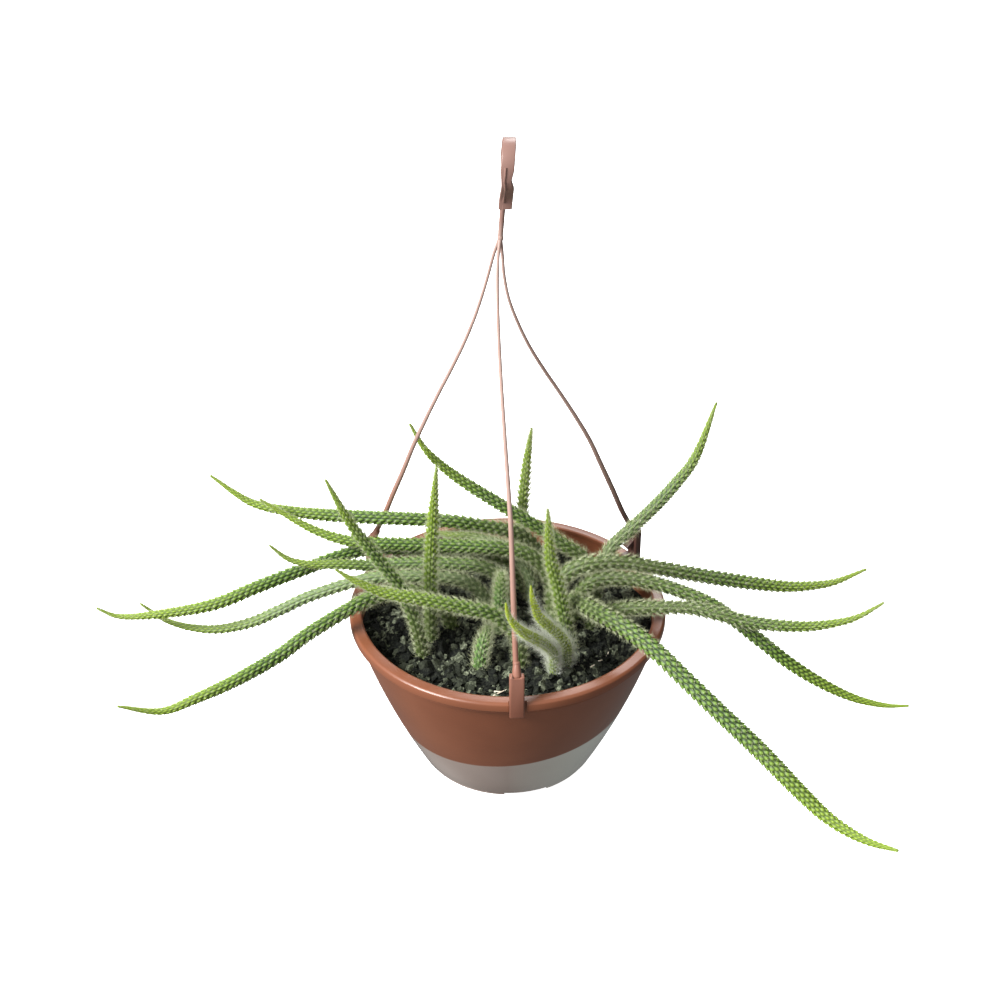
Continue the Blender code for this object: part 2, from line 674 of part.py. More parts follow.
def scatter_lumps(collection, rng):
    """Gravel and clods, sunk in the soil's surface."""
    made = 0
    while made < LUMP_COUNT:
        spread = 0.086 * math.sqrt(rng.random())
        angle = rng.uniform(0.0, TAU)
        size = rng.uniform(0.002, 0.0038)
        x = spread * math.cos(angle)
        y = spread * math.sin(angle)
        if not far_from_stems(x, y, 0.0075 + size):
            continue
        bm = bmesh.new()
        bmesh.ops.create_icosphere(bm, subdivisions=1, radius=size)
        bmesh.ops.scale(bm, vec=(1.0, rng.uniform(0.7, 1.2), 0.8), verts=bm.verts)
        bmesh.ops.rotate(bm, cent=(0, 0, 0), matrix=Matrix.Rotation(angle, 3, "Z"), verts=bm.verts)
        bmesh.ops.translate(bm, vec=(x, y, SOIL_Z + size * 0.1), verts=bm.verts)
        add_object("lump", mesh_from_bmesh("lump", bm), collection)
        made += 1


def root_holes(collection):
    """A round hole in the soil for the root of each stem."""
    for radius, points in STEMS.values():
        bm = bmesh.new()
        hole_r = radius * MM * PLAIN_ROOT + HOLE_GAP
        depth = HOLE_DEPTH + 0.008
        bmesh.ops.create_cone(bm, cap_ends=True, segments=HOLE_SIDES, radius1=hole_r, radius2=hole_r, depth=depth)
        centre_z = SOIL_Z - HOLE_DEPTH + depth / 2.0
        bmesh.ops.translate(bm, vec=(points[0][0] * MM, points[0][1] * MM, centre_z), verts=bm.verts)
        mark_cutter(add_object("root_hole", mesh_from_bmesh("root_hole", bm), collection))


def make_soil(parts, earth, rng):
    """The soil with a rough top, loose lumps and the holes the stems stand in."""
    soil = add_object("soil", profile_mesh("soil", soil_profile()), parts, earth)
    spin(soil, SOIL_STEPS)
    soil = freeze(soil)
    roughen(soil, rng)
    lumps = make_collection("soil_lumps")
    scatter_lumps(lumps, rng)
    soil = combine(soil, lumps, "UNION")
    holes = make_collection("root_holes")
    root_holes(holes)
    return combine(soil, holes, "DIFFERENCE")


def stem_materials():
    """One flesh colour for grown stems, one for young ones and one for old stubs."""
    return {
        "stem": make_material("stem_flesh", (0.16, 0.30, 0.07), 0.6),
        "young": make_material("young_flesh", (0.42, 0.55, 0.12), 0.6),
        "stub": make_material("stub_flesh", (0.25, 0.32, 0.16), 0.75),
    }


def main():
    """Build every piece."""
    clear_scene()
    rng = random.Random(SEED)
    parts = make_collection("rat_tail_cactus")
    brown = make_material("pot_plastic", (0.36, 0.14, 0.08), 0.28)
    pale_brown = make_material("hanger_plastic", (0.40, 0.19, 0.14), 0.35)
    make_pot(parts, brown)
    make_hanger(parts, pale_brown)
    make_soil(parts, make_material("soil_mix", (0.045, 0.045, 0.04), 0.95), rng)
    flesh = stem_materials()
    for name in STEMS:
        make_stem(name, parts, flesh[name.split("_")[0]], rng)


main()
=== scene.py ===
# %% [markdown]
# # Rat tail cactus in a hanging bowl
# The plant is a bundle of long thin stems that spill over the rim of a brown moulded bowl.
# A light three-armed hanger of the same plastic is clipped into the rim.
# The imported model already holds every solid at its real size, so this lesson only dresses it:
# each piece is modelled again at the same place with more detail, and gets its finish.

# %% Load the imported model
import math

import bmesh
import bpy
import numpy as np
from mathutils import Matrix, Vector


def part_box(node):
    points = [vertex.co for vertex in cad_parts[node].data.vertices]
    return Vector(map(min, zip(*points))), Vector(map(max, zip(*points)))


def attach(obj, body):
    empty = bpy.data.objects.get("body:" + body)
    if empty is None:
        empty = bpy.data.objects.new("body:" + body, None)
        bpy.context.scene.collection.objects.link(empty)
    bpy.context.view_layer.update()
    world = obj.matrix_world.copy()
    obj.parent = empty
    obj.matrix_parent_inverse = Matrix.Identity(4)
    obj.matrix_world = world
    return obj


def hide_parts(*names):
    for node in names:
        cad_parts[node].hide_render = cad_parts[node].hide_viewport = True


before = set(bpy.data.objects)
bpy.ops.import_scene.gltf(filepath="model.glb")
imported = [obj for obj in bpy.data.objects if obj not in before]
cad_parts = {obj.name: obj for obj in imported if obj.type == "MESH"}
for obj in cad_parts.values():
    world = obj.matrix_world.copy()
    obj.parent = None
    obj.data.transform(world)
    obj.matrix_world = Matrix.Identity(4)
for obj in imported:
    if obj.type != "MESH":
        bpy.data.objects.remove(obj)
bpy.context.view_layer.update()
MM = 0.001
TAU = 2.0 * math.pi
pot_low, pot_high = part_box("pot")
RIM_CENTRE = Vector(((pot_low.x + pot_high.x) / 2.0, 0.0, pot_high.z))
print("nodes:", len(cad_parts), "rim centre:", tuple(round(v, 4) for v in RIM_CENTRE))

# %% [markdown]
# ## The camera
# The photograph looks down at the bowl by about a third of a right angle, through a longish lens.
# The camera could be placed by eye, but a few numbers say it better: how far it stands from a point
# above the rim, how steeply it looks down, and how long its lens is.

# %% Camera
VIEW_DOWN = math.radians(32.75)
CAMERA_DISTANCE = 1.1
AIM_ABOVE_RIM = 0.0814
LENS_MM = 61.92
SHIFT_X = -0.0076


def place_camera():
    """Stand the camera in front of the bowl, looking down at it."""
    back = Vector((0.0, -math.cos(VIEW_DOWN), math.sin(VIEW_DOWN)))
    place = RIM_CENTRE + Vector((0.0, 0.0, AIM_ABOVE_RIM)) + back * CAMERA_DISTANCE
    bpy.ops.object.camera_add(location=place, rotation=(math.pi / 2.0 - VIEW_DOWN, 0.0, 0.0))
    camera = bpy.context.object
    camera.data.sensor_width = 36.0
    camera.data.lens = LENS_MM
    camera.data.shift_x = SHIFT_X
    bpy.context.scene.camera = camera
    return camera


print("camera at", tuple(round(v, 3) for v in place_camera().location))

# %% [markdown]
# ## Floor and light
# A studio table for catalogue pictures is one white sheet that is lit from below, so that nothing
# throws a shadow on it. The floor is a disc that shines a little by itself. It is hidden from diffuse
# and glossy rays, which keeps its light off the plant, or it would fill every hollow from below and flatten
# the bowl.
# The sky is brighter on the left, and a large lamp there gives each wart its light and dark side.

# %% Floor, sky and lamps
FLOOR_R = 6.0
SKY_DARK, SKY_BRIGHT = 0.22, 1.05
BRIGHT_SIDE = (-0.60, -0.42, 0.68)


def pale_floor():
    """A wide shining disc that the bowl stands on."""
    bpy.ops.mesh.primitive_circle_add(vertices=96, radius=FLOOR_R, fill_type="NGON",
                                      location=(0.0, 0.0, pot_low.z))
    floor = bpy.context.object
    floor.name = "floor"
    floor.visible_diffuse = False
    floor.visible_glossy = False
    paint = bpy.data.materials.new("floor_paint")
    paint.use_nodes = True
    shader = paint.node_tree.nodes["Principled BSDF"]
    shader.inputs["Base Color"].default_value = (0.93, 0.93, 0.925, 1.0)
    shader.inputs["Roughness"].default_value = 0.9
    shader.inputs["Emission Color"].default_value = (1.0, 1.0, 1.0, 1.0)
    shader.inputs["Emission Strength"].default_value = 0.92
    floor.data.materials.append(paint)


def soft_sky():
    """White light from all round, more of it from the bright side."""
    world = bpy.data.worlds.new("studio")
    bpy.context.scene.world = world
    world.use_nodes = True
    nodes, links = world.node_tree.nodes, world.node_tree.links
    facing = nodes.new("ShaderNodeVectorMath")
    facing.operation = "DOT_PRODUCT"
    facing.inputs[1].default_value = BRIGHT_SIDE
    links.new(nodes.new("ShaderNodeTexCoord").outputs["Generated"], facing.inputs[0])
    strength = nodes.new("ShaderNodeMapRange")
    strength.interpolation_type = "SMOOTHSTEP"
    for key, value in {"From Min": -0.5, "To Min": SKY_DARK, "To Max": SKY_BRIGHT}.items():
        strength.inputs[key].default_value = value
    links.new(facing.outputs["Value"], strength.inputs["Value"])
    links.new(strength.outputs["Result"], nodes["Background"].inputs["Strength"])
    nodes["Background"].inputs["Color"].default_value = (1.0, 0.995, 0.985, 1.0)


def soft_lamp(name, place, size, power):
    """A square lamp that looks at the bowl."""
    bpy.ops.object.light_add(type="AREA", location=place)
    lamp = bpy.context.object
    lamp.name = name
    lamp.data.size = size
    lamp.data.energy = power
    aim = RIM_CENTRE - Vector(place)
    lamp.rotation_euler = aim.to_track_quat("-Z", "Y").to_euler()


pale_floor()
soft_sky()
soft_lamp("key_lamp", (-1.5, -0.9, 1.1), 0.8, 112.0)
soft_lamp("back_lamp", (0.4, 1.6, 1.1), 1.2, 30.0)
bpy.context.scene.view_settings.view_transform = "Standard"

# %% [markdown]
# ## Small tools
# Nearly every step needs the same few moves: work on one object alone, pick points by where they
# are, put a modifier on and apply it, and hand the finished piece over. They are written once here.

# %% Helpers for modelling


def select_only(obj):
    """Work on this object and no other."""
    bpy.ops.object.select_all(action="DESELECT")
    obj.select_set(True)
    bpy.context.view_layer.objects.active = obj


def pick(obj, test):
    """In edit mode, select the points whose place passes a test, with the edges between them."""
    bpy.ops.mesh.select_mode(type="VERT")
    bpy.ops.mesh.select_all(action="DESELECT")
    bm = bmesh.from_edit_mesh(obj.data)
    for vert in bm.verts:
        vert.select_set(test(vert.co))
    bm.select_flush_mode()
    bmesh.update_edit_mesh(obj.data)


def apply_modifier(obj, kind, **settings):
    """Put a modifier on an object and apply it."""
    select_only(obj)
    modifier = obj.modifiers.new(kind.lower(), kind)
    for key, value in settings.items():
        setattr(modifier, key, value)
    bpy.ops.object.modifier_apply(modifier=modifier.name)


def copy_of(obj, name):
    """A copy with its own mesh."""
    twin = obj.copy()
    twin.data = obj.data.copy()
    twin.name = name
    bpy.context.scene.collection.objects.link(twin)
    return twin


def join_all(objects):
    """Make one object of several."""
    select_only(objects[0])
    for obj in objects:
        obj.select_set(True)
    bpy.ops.object.join()
    return bpy.context.object


def remove(obj):
    """Delete a helper object with its data."""
    data = obj.data
    bpy.data.objects.remove(obj)
    if isinstance(data, bpy.types.Mesh):
        bpy.data.meshes.remove(data)


def hand_over(obj, name, material, replaced=None):
    """Put a finished piece's place into its mesh, dress it, and let it ride with the object."""
    select_only(obj)
    bpy.ops.object.transform_apply(location=True, rotation=True, scale=True)
    obj.name = name
    obj.data.name = name
    obj.data.materials.clear()
    obj.data.materials.append(material)
    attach(obj, "root")
    if replaced:
        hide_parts(replaced)
    triangles = sum(len(face.vertices) - 2 for face in obj.data.polygons)
    print(f"{name}: {triangles} triangles")
    return obj


# %% [markdown]
# A finish is a small network of nodes. Three helpers keep it readable: one makes a shader with its
# plain values, one adds a node and wires its inputs, and one blends two colours.

# %% Helpers for finishes


def new_finish(name, **values):
    """A Principled material; its plain values are given by socket name."""
    material = bpy.data.materials.new(name)
    material.use_nodes = True
    shader = material.node_tree.nodes["Principled BSDF"]
    for key, value in values.items():
        shader.inputs[key.replace("_", " ")].default_value = value
    return material, shader


def add_node(material, kind, inputs, **settings):
    """A node with its settings; an input is either a value or another node's output."""
    node = material.node_tree.nodes.new(kind)
    for key, value in settings.items():
        setattr(node, key, value)
    for key, value in inputs.items():
        if isinstance(value, bpy.types.NodeSocket):
            material.node_tree.links.new(value, node.inputs[key])
        else:
            node.inputs[key].default_value = value
    return node


def blend_colours(material, share, first, second):
    """From the first colour to the second as the share goes from 0 to 1."""
    node = add_node(material, "ShaderNodeMix", {}, data_type="RGBA")
    for index, value in ((0, share), (6, first), (7, second)):
        if isinstance(value, bpy.types.NodeSocket):
            material.node_tree.links.new(value, node.inputs[index])
        elif index:
            node.inputs[index].default_value = (*value, 1.0)
        else:
            node.inputs[index].default_value = value
    return node.outputs[2]


def stretch_range(material, value, low, high, to_low=0.0, to_high=1.0):
    """Turn the range from low to high into another, and hold it there."""
    inputs = {"Value": value, "From Min": low, "From Max": high, "To Min": to_low, "To Max": to_high}
    return add_node(material, "ShaderNodeMapRange", inputs).outputs["Result"]


def noise(material, scale, detail=3.0):
    """Cloudy noise that is fixed to the object, from 0 to 1."""
    place = add_node(material, "ShaderNodeTexCoord", {}).outputs["Object"]
    inputs = {"Vector": place, "Scale": scale, "Detail": detail}
    return add_node(material, "ShaderNodeTexNoise", inputs).outputs["Fac"]


def surface_value(material, name):
    """A number that the mesh itself carries at each of its points."""
    return add_node(material, "ShaderNodeAttribute", {}, attribute_name=name).outputs["Fac"]


def set_bump(material, shader, height, strength, distance):
    """Let a height shade the surface as low relief."""
    inputs = {"Height": height, "Strength": strength, "Distance": distance}
    bump = add_node(material, "ShaderNodeBump", inputs)
    material.node_tree.links.new(bump.outputs["Normal"], shader.inputs["Normal"])


# %% [markdown]
# ## Plastic
# Bowl and hanger are moulded in one brown plastic. Moulded plastic is smooth and glossy, with faint
# clouds in its colour and tiny dents that break up the reflections. Near its foot the bowl is smoother,
# and a grey zone with a clear edge is painted there: a painted reflection of the pale floor, with
# painted streaks, paler towards the right.

# %% Bowl plastic
REFLECTION_EDGE_LEVEL = -0.0730
REFLECTION_EDGE_TILT = 0.13


def painted_reflection_zone(material):
    """Where the painted reflection goes: 1 below a slightly tilted level near the foot of the bowl, 0 above
    it.
    """
    place = add_node(material, "ShaderNodeTexCoord", {}).outputs["Object"]
    slope = {0: place, 1: (-REFLECTION_EDGE_TILT, 0.0, 1.0)}
    height = add_node(material, "ShaderNodeVectorMath", slope, operation="DOT_PRODUCT").outputs["Value"]
    level = RIM_CENTRE.z + REFLECTION_EDGE_LEVEL
    return stretch_range(material, height, level - 0.0004, level + 0.0004, 1.0, 0.0)


def bowl_plastic():
    """Brown gloss, smoother towards the foot, where a grey painted reflection of the floor lies."""
    material, shader = new_finish("bowl_plastic", Roughness=0.32, IOR=1.5, Specular_IOR_Level=0.4)
    links = material.node_tree.links
    clouds = stretch_range(material, noise(material, 22.0), 0.3, 0.7)
    brown = blend_colours(material, clouds, (0.156, 0.052, 0.024), (0.186, 0.064, 0.030))
    zone = painted_reflection_zone(material)
    place = add_node(material, "ShaderNodeTexCoord", {}).outputs["Object"]
    across = add_node(material, "ShaderNodeSeparateXYZ", {"Vector": place}).outputs["X"]
    # Painted reflection of the pale floor: grey with painted streaks, paler still on the right side.
    streaks = stretch_range(material, noise(material, 14.0, 1.0), 0.35, 0.65)
    grey = blend_colours(material, streaks, (0.240, 0.185, 0.158), (0.330, 0.275, 0.245))
    grey = blend_colours(material, stretch_range(material, across, 0.0, 0.06), grey, (0.640, 0.680, 0.620))
    links.new(blend_colours(material, zone, brown, grey), shader.inputs["Base Color"])
    links.new(stretch_range(material, zone, 0.0, 1.0, 0.32, 0.12), shader.inputs["Roughness"])
    set_bump(material, shader, noise(material, 900.0, 2.0), 0.05, 0.0004)
    return material


def hanger_plastic():
    """The same plastic; painted sheen makes the arms paler than the clips, the clips are darker at the foot
    than at the top, and painted shade makes the clip on the right the darkest.
    """
    material, shader = new_finish("hanger_plastic", Roughness=0.34, IOR=1.5, Specular_IOR_Level=0.4)
    place = add_node(material, "ShaderNodeTexCoord", {}).outputs["Object"]
    parts = add_node(material, "ShaderNodeSeparateXYZ", {"Vector": place}).outputs
    height = parts["Z"]
    rim = RIM_CENTRE.z
    # Painted sheen: the arms grow paler the higher they rise above the clips.
    arm_sheen_share = stretch_range(material, height, rim + 0.022, rim + 0.13)
    # The clips go from darker at the foot to lighter at the top.
    clip = stretch_range(material, height, rim - 0.006, rim + 0.018)
    low = blend_colours(material, clip, (0.160, 0.060, 0.036), (0.230, 0.100, 0.068))
    # Painted shade: the clip on the right is darkened.
    low = blend_colours(material, stretch_range(material, parts["X"], 0.03, 0.05), low, (0.060, 0.028, 0.022))
    clouds = stretch_range(material, noise(material, 60.0), 0.3, 0.7)
    pale = blend_colours(material, clouds, (0.320, 0.215, 0.182), (0.370, 0.255, 0.220))
    hook = stretch_range(material, height, rim + 0.262, rim + 0.275)
    pale = blend_colours(material, hook, pale, (0.205, 0.116, 0.095))
    material.node_tree.links.new(blend_colours(material, arm_sheen_share, low, pale), shader.inputs["Base Color"])
    set_bump(material, shader, noise(material, 1400.0, 2.0), 0.06, 0.0003)
    return material


# %% [markdown]
# ## The bowl
# The real bowl is one thin shell with a broad lip, a skirt that hangs from the lip, and a foot ring.
# It could be cut from a solid, but a shell of this kind is drawn as half a cross-section and spun.
# The points go up the inside, over the lip, down the outside and under the floor.
# Afterwards the sharp rings are rounded, the slots for the clips and the gaps in the foot are cut.

# %% Draw half a cross-section and spin it
BODY_TOP_R, BODY_TOP_Z = 101.5, -8.0
BODY_FOOT_R, BODY_FOOT_Z = 61.5, -112.8
BODY_BULGE = 3.0
WALL = 1.6
BOWL_STEPS = 144
FLOOR_HEIGHT = -111.0


def body_radius(height):
    """Outer radius of the bowl's wall at a height, both in millimetres."""
    share = max(0.0, (BODY_TOP_Z - height) / (BODY_TOP_Z - BODY_FOOT_Z))
    return BODY_TOP_R + (BODY_FOOT_R - BODY_TOP_R) * share + 4.0 * BODY_BULGE * share * (1.0 - share)


def bowl_outline():
    """Radius and height, in millimetres from the rim's centre, all along the section."""
    heights = [FLOOR_HEIGHT + (BODY_TOP_Z - FLOOR_HEIGHT) * i / 12.0 for i in range(13)]
    inside = [(0.0, FLOOR_HEIGHT)] + [(body_radius(z) - WALL, z) for z in heights]
    lip = [(99.9, -2.8), (97.2, -2.8), (97.0, -0.6), (98.0, 0.0), (103.6, -0.4), (105.0, -1.6),
           (105.0, -6.6), (103.6, -6.6), (103.6, -2.8), (101.5, -2.8), (101.7, -10.4)]
    outside = [(body_radius(z), z) for z in (-11.0, -20.0, -30.0, -42.0, -54.0, -66.0, -78.0, -90.0, -102.0)]
    foot = [(BODY_FOOT_R, BODY_FOOT_Z), (59.6, -114.0), (59.6, -116.0), (56.2, -116.0), (56.2, -113.4),
            (0.0, -113.4)]
    return inside + lip + outside + foot


def draw_line(name, points):
    """A chain of edges, drawn point by point with the extrude tool."""
    bpy.ops.object.select_all(action="DESELECT")
    bpy.ops.mesh.primitive_plane_add(size=MM, location=points[0])
    line = bpy.context.object
    line.name = name
    bpy.ops.object.mode_set(mode="EDIT")
    bpy.ops.mesh.merge(type="CENTER")
    for start, end in zip(points, points[1:]):
        bpy.ops.mesh.extrude_region_move(TRANSFORM_OT_translate={"value": end - start})
    bpy.ops.object.mode_set(mode="OBJECT")
    return line


def spin_round(obj, steps):
    """Turn a drawn line once round the bowl's axis and close it."""
    select_only(obj)
    bpy.ops.object.mode_set(mode="EDIT")
    bpy.ops.mesh.select_all(action="SELECT")
    bpy.ops.mesh.spin(steps=steps, angle=TAU, center=RIM_CENTRE, axis=(0.0, 0.0, 1.0))
    bpy.ops.mesh.select_all(action="SELECT")
    bpy.ops.mesh.remove_doubles(threshold=0.00001)
    bpy.ops.mesh.normals_make_consistent(inside=False)
    bpy.ops.object.mode_set(mode="OBJECT")


section = [RIM_CENTRE + Vector((r * MM, 0.0, z * MM)) for r, z in bowl_outline()]
bowl = draw_line("bowl", section)
spin_round(bowl, BOWL_STEPS)
print("bowl faces:", len(bowl.data.polygons))

# %% Round the rings that catch the light
ROUNDED_RINGS = ((98.0, 0.0, 0.4), (103.6, -0.4, 0.5), (105.0, -1.6, 0.5), (105.0, -6.6, 0.4),
                 (61.5, -112.8, 0.6), (59.6, -116.0, 0.4))


def on_ring(place, radius, height):
    """Whether a point of the bowl lies on the ring with this radius and height in millimetres."""
    local = place - (RIM_CENTRE - bowl.location)
    spread = math.hypot(local.x, local.y) / MM
    return abs(spread - radius) < 0.05 and abs(local.z / MM - height) < 0.05


bpy.ops.object.mode_set(mode="EDIT")
for radius, height, width in ROUNDED_RINGS:
    pick(bowl, lambda place: on_ring(place, radius, height))
    bpy.ops.mesh.bevel(offset=width * MM, segments=3, affect="EDGES")
bpy.ops.object.mode_set(mode="OBJECT")
print("bowl faces with rounded rings:", len(bowl.data.polygons))

# %% Cut the slots, the foot's gaps and the drain holes
CLIP_ANGLES = (-86.9, 33.1, 153.1)
FOOT_GAP_ANGLES = (-78.0, 12.0, 102.0, 192.0)
SLOT_WIDTH = 11.3
SLOT_TURN = 0.38
DRAIN_R = 4.5


def turned_block(angle, low, high):
    """A box given by its corners outwards, sideways and up, turned round the bowl's axis."""
    turn = math.radians(angle)
    centre = Vector([(a + b) / 2.0 * MM for a, b in zip(low, high)])
    size = [(b - a) * MM for a, b in zip(low, high)]
    place = RIM_CENTRE + Matrix.Rotation(turn, 3, "Z") @ centre
    bpy.ops.mesh.primitive_cube_add(size=1.0, location=place, rotation=(0.0, 0.0, turn), scale=size)
    return bpy.context.object


def cut(obj, cutter):
    """Take a cutter's shape out of an object."""
    apply_modifier(obj, "BOOLEAN", operation="DIFFERENCE", solver="EXACT", object=cutter)
    remove(cutter)


def drain_cutter(radius, angle):
    """An upright cylinder through the floor."""
    place = RIM_CENTRE + Vector((radius * math.cos(angle), radius * math.sin(angle), FLOOR_HEIGHT * MM))
    bpy.ops.mesh.primitive_cylinder_add(vertices=32, radius=DRAIN_R * MM, depth=0.01, location=place)
    return bpy.context.object


for angle in CLIP_ANGLES:
    low_corner, high_corner = (BODY_TOP_R + 0.3, -SLOT_WIDTH / 2, -12.0), (112.0, SLOT_WIDTH / 2, 4.0)
    cut(bowl, turned_block(angle + SLOT_TURN, low_corner, high_corner))
for angle in FOOT_GAP_ANGLES:
    cut(bowl, turned_block(angle, (50.0, -14.5, -118.0), (70.0, 14.5, -113.8)))
cut(bowl, drain_cutter(0.0, 0.0))
for i in range(4):
    cut(bowl, drain_cutter(0.034, TAU * (i + 0.5) / 4.0))
select_only(bowl)
bpy.ops.object.shade_smooth_by_angle(angle=math.radians(32.0))
hand_over(bowl, "bowl_shell", bowl_plastic(), "pot")

# %% [markdown]
# ## The hanger
# Hook, arms and clips come out of one mould. The arms swell towards the clips and are round bars,
# so each is a curve with a bevel and its own thickness at every point. A modelled bar would do too,
# but a curve keeps its section square to its path without any work.

# %% Smooth paths through a few points
SUBSTEPS = 16


def smooth_path(points, step):
    """Even steps along a Catmull-Rom curve through points, and its length."""
    knots = [points[0] * 2.0 - points[1], *points, points[-1] * 2.0 - points[-2]]
    fine = []
    for a, b, c, d in zip(knots, knots[1:], knots[2:], knots[3:]):
        for i in range(SUBSTEPS):
            t = i / SUBSTEPS
            fine.append(0.5 * (2.0 * b + (c - a) * t + (2.0 * a - 5.0 * b + 4.0 * c - d) * t * t
                               + (3.0 * b - a - 3.0 * c + d) * t ** 3))
    fine = np.array([*fine, points[-1]])
    lengths = np.concatenate(([0.0], np.cumsum(np.linalg.norm(np.diff(fine, axis=0), axis=1))))
    count = max(3, round(lengths[-1] / step))
    even = np.linspace(0.0, lengths[-1], count + 1)
    path = np.stack([np.interp(even, lengths, fine[:, k]) for k in range(3)], axis=1)
    return path, float(lengths[-1])


def path_curve(name, path, radii):
    """A curve object through points, with a radius at each."""
    curve = bpy.data.curves.new(name, "CURVE")
    curve.dimensions = "3D"
    spline = curve.splines.new("POLY")
    spline.points.add(len(path) - 1)
    for target, point, radius in zip(spline.points, path, radii):
        target.co = (*point, 1.0)
        target.radius = radius
    obj = bpy.data.objects.new(name, curve)
    bpy.context.scene.collection.objects.link(obj)
    return obj


def round_bar(name, path, radii):
    """A round bar along a path, as a mesh with closed ends."""
    bar = path_curve(name, path, radii)
    bar.data.bevel_depth = 1.0
    bar.data.bevel_resolution = 4
    bar.data.use_fill_caps = True
    select_only(bar)
    bpy.ops.object.convert(target="MESH")
    return bpy.context.object


# %% Arms
JUNCTION_X, JUNCTION_Z = -4.2, 264.0
ARM_ROWS = ((264, 0.0, 1.1), (252, 4.5, 1.0), (238, 8.5, 1.0), (222, 13.5, 1.1), (205, 19.5, 1.15),
            (187, 27.0, 1.2), (168, 36.0, 1.25), (148, 46.0, 1.3), (126, 56.5, 1.4), (104, 66.5, 1.5),
            (82, 75.5, 1.6), (60, 85.0, 1.7), (42, 92.4, 1.8), (30, 98.2, 1.8), (22, 102.8, 1.8),
            (14, 104.4, 1.8))
# The back right arm is pulled in towards the axis, and the front one bows to the left
ARM_PULL = {33.1: 8.3}
PULL_FROM, PULL_TO = 85.0, 205.0
LEAST_SPREAD = 0.25
ARM_BOW = {-86.9: -2.9}
BOW_LOW = 110.0
BOW_SKEW = 0.6


def arm_points(angle):
    """The arm's points for the clip at an angle."""
    turn = math.radians(angle)
    points = []
    for height, spread, _ in ARM_ROWS:
        share = min(1.0, max(0.0, (height - PULL_FROM) / (PULL_TO - PULL_FROM)))
        pull = ARM_PULL.get(angle, 0.0) * share * share * (3.0 - 2.0 * share)
        spread = max(LEAST_SPREAD * spread, spread - pull)
        share = min(1.0, max(0.0, (JUNCTION_Z - height) / (JUNCTION_Z - BOW_LOW)))
        bow = ARM_BOW.get(angle, 0.0) * math.sin(math.pi * share ** BOW_SKEW)
        lean = JUNCTION_X * height / JUNCTION_Z
        x = lean + spread * math.cos(turn) - bow * math.sin(turn)
        y = spread * math.sin(turn) + bow * math.cos(turn)
        points.append(RIM_CENTRE + Vector((x, y, height)) * MM)
    return points


def make_arm(angle):
    """One tapering arm."""
    path, _ = smooth_path(arm_points(angle), 0.003)
    rows = np.linspace(0.0, len(ARM_ROWS) - 1.0, len(path))
    radii = np.interp(rows, range(len(ARM_ROWS)), [radius * MM for _, _, radius in ARM_ROWS])
    return round_bar("arm", path, radii)


hanger_pieces = [make_arm(angle) for angle in CLIP_ANGLES]
print("arms:", len(hanger_pieces))

# %% [markdown]
# Each arm ends in a block that drops into a slot of the rim. It is built from boxes whose edges are
# bevelled, because the thin light lines along those edges are what the eye sees of it.

# %% Clips
EDGE_ROUNDING = 0.5


def soften(obj, width):
    """Round the edges of a box."""
    apply_modifier(obj, "BEVEL", width=width * MM, segments=3)
    return obj


def clip_block(angle):
    """The block, with a channel in its top that leaves a small horn on each side of the collar."""
    block = soften(turned_block(angle, (101.9, -4.65, -10.2), (107.0, 4.65, 22.0)), 0.9)
    cut(block, turned_block(angle, (100.0, -2.8, 20.8), (109.0, 2.8, 24.0)))
    return block


def clip_boxes(angle):
    """Block, arm over the lip and catch under it."""
    return [
        clip_block(angle),
        soften(turned_block(angle, (94.8, -2.6, 0.4), (102.9, 2.6, 3.0)), EDGE_ROUNDING),
        soften(turned_block(angle, (94.8, -2.6, -4.5), (96.6, 2.6, 1.2)), EDGE_ROUNDING),
    ]


def clip_tooth(angle):
    """The slanting tooth behind the block."""
    turn = Matrix.Rotation(math.radians(angle), 3, "Z")
    tilt = Matrix.Rotation(math.radians(-38.0), 3, "Y")
    place = RIM_CENTRE + turn @ Vector((0.0998, 0.0, 0.0112))
    bpy.ops.mesh.primitive_cube_add(size=1.0, location=place, rotation=(turn @ tilt).to_euler(),
                                    scale=(0.008, 0.0052, 0.0026))
    return soften(bpy.context.object, EDGE_ROUNDING)


def clip_collar(angle):
    """The cone through which the arm runs into the block, and the bead at its top."""
    turn = Matrix.Rotation(math.radians(angle), 3, "Z")
    tilt = Matrix.Rotation(math.radians(-28.0), 3, "Y")
    place = RIM_CENTRE + turn @ Vector((0.1015, 0.0, 0.0235))
    bpy.ops.mesh.primitive_cone_add(vertices=24, radius1=0.0031, radius2=0.0021, depth=0.0085,
                                    location=place, rotation=(turn @ tilt).to_euler())
    cone = soften(bpy.context.object, 0.5)
    place = RIM_CENTRE + turn @ Vector((0.0995, 0.0, 0.0275))
    bpy.ops.mesh.primitive_uv_sphere_add(segments=20, ring_count=10, radius=0.0024, location=place,
                                         rotation=(turn @ tilt).to_euler(), scale=(1.0, 1.0, 0.6))
    return [cone, bpy.context.object]


for angle in CLIP_ANGLES:
    hanger_pieces += clip_boxes(angle) + [clip_tooth(angle)] + clip_collar(angle)
print("hanger pieces:", len(hanger_pieces))

# %% [markdown]
# The hook is a flat strip bent over a rod. It is drawn as the side view of its middle line, pulled
# out edge by edge, given its thickness with Solidify and then rounded.

# %% Hook
HOOK_LEAN = 0.09
HOOK_FOOT_Z = 281.0
HOOK_CENTRE_Z = 309.5
HOOK_R = 12.5
HOOK_T = 3.0
HOOK_HALF = 3.9
FOOT_SHIFT = 1.2


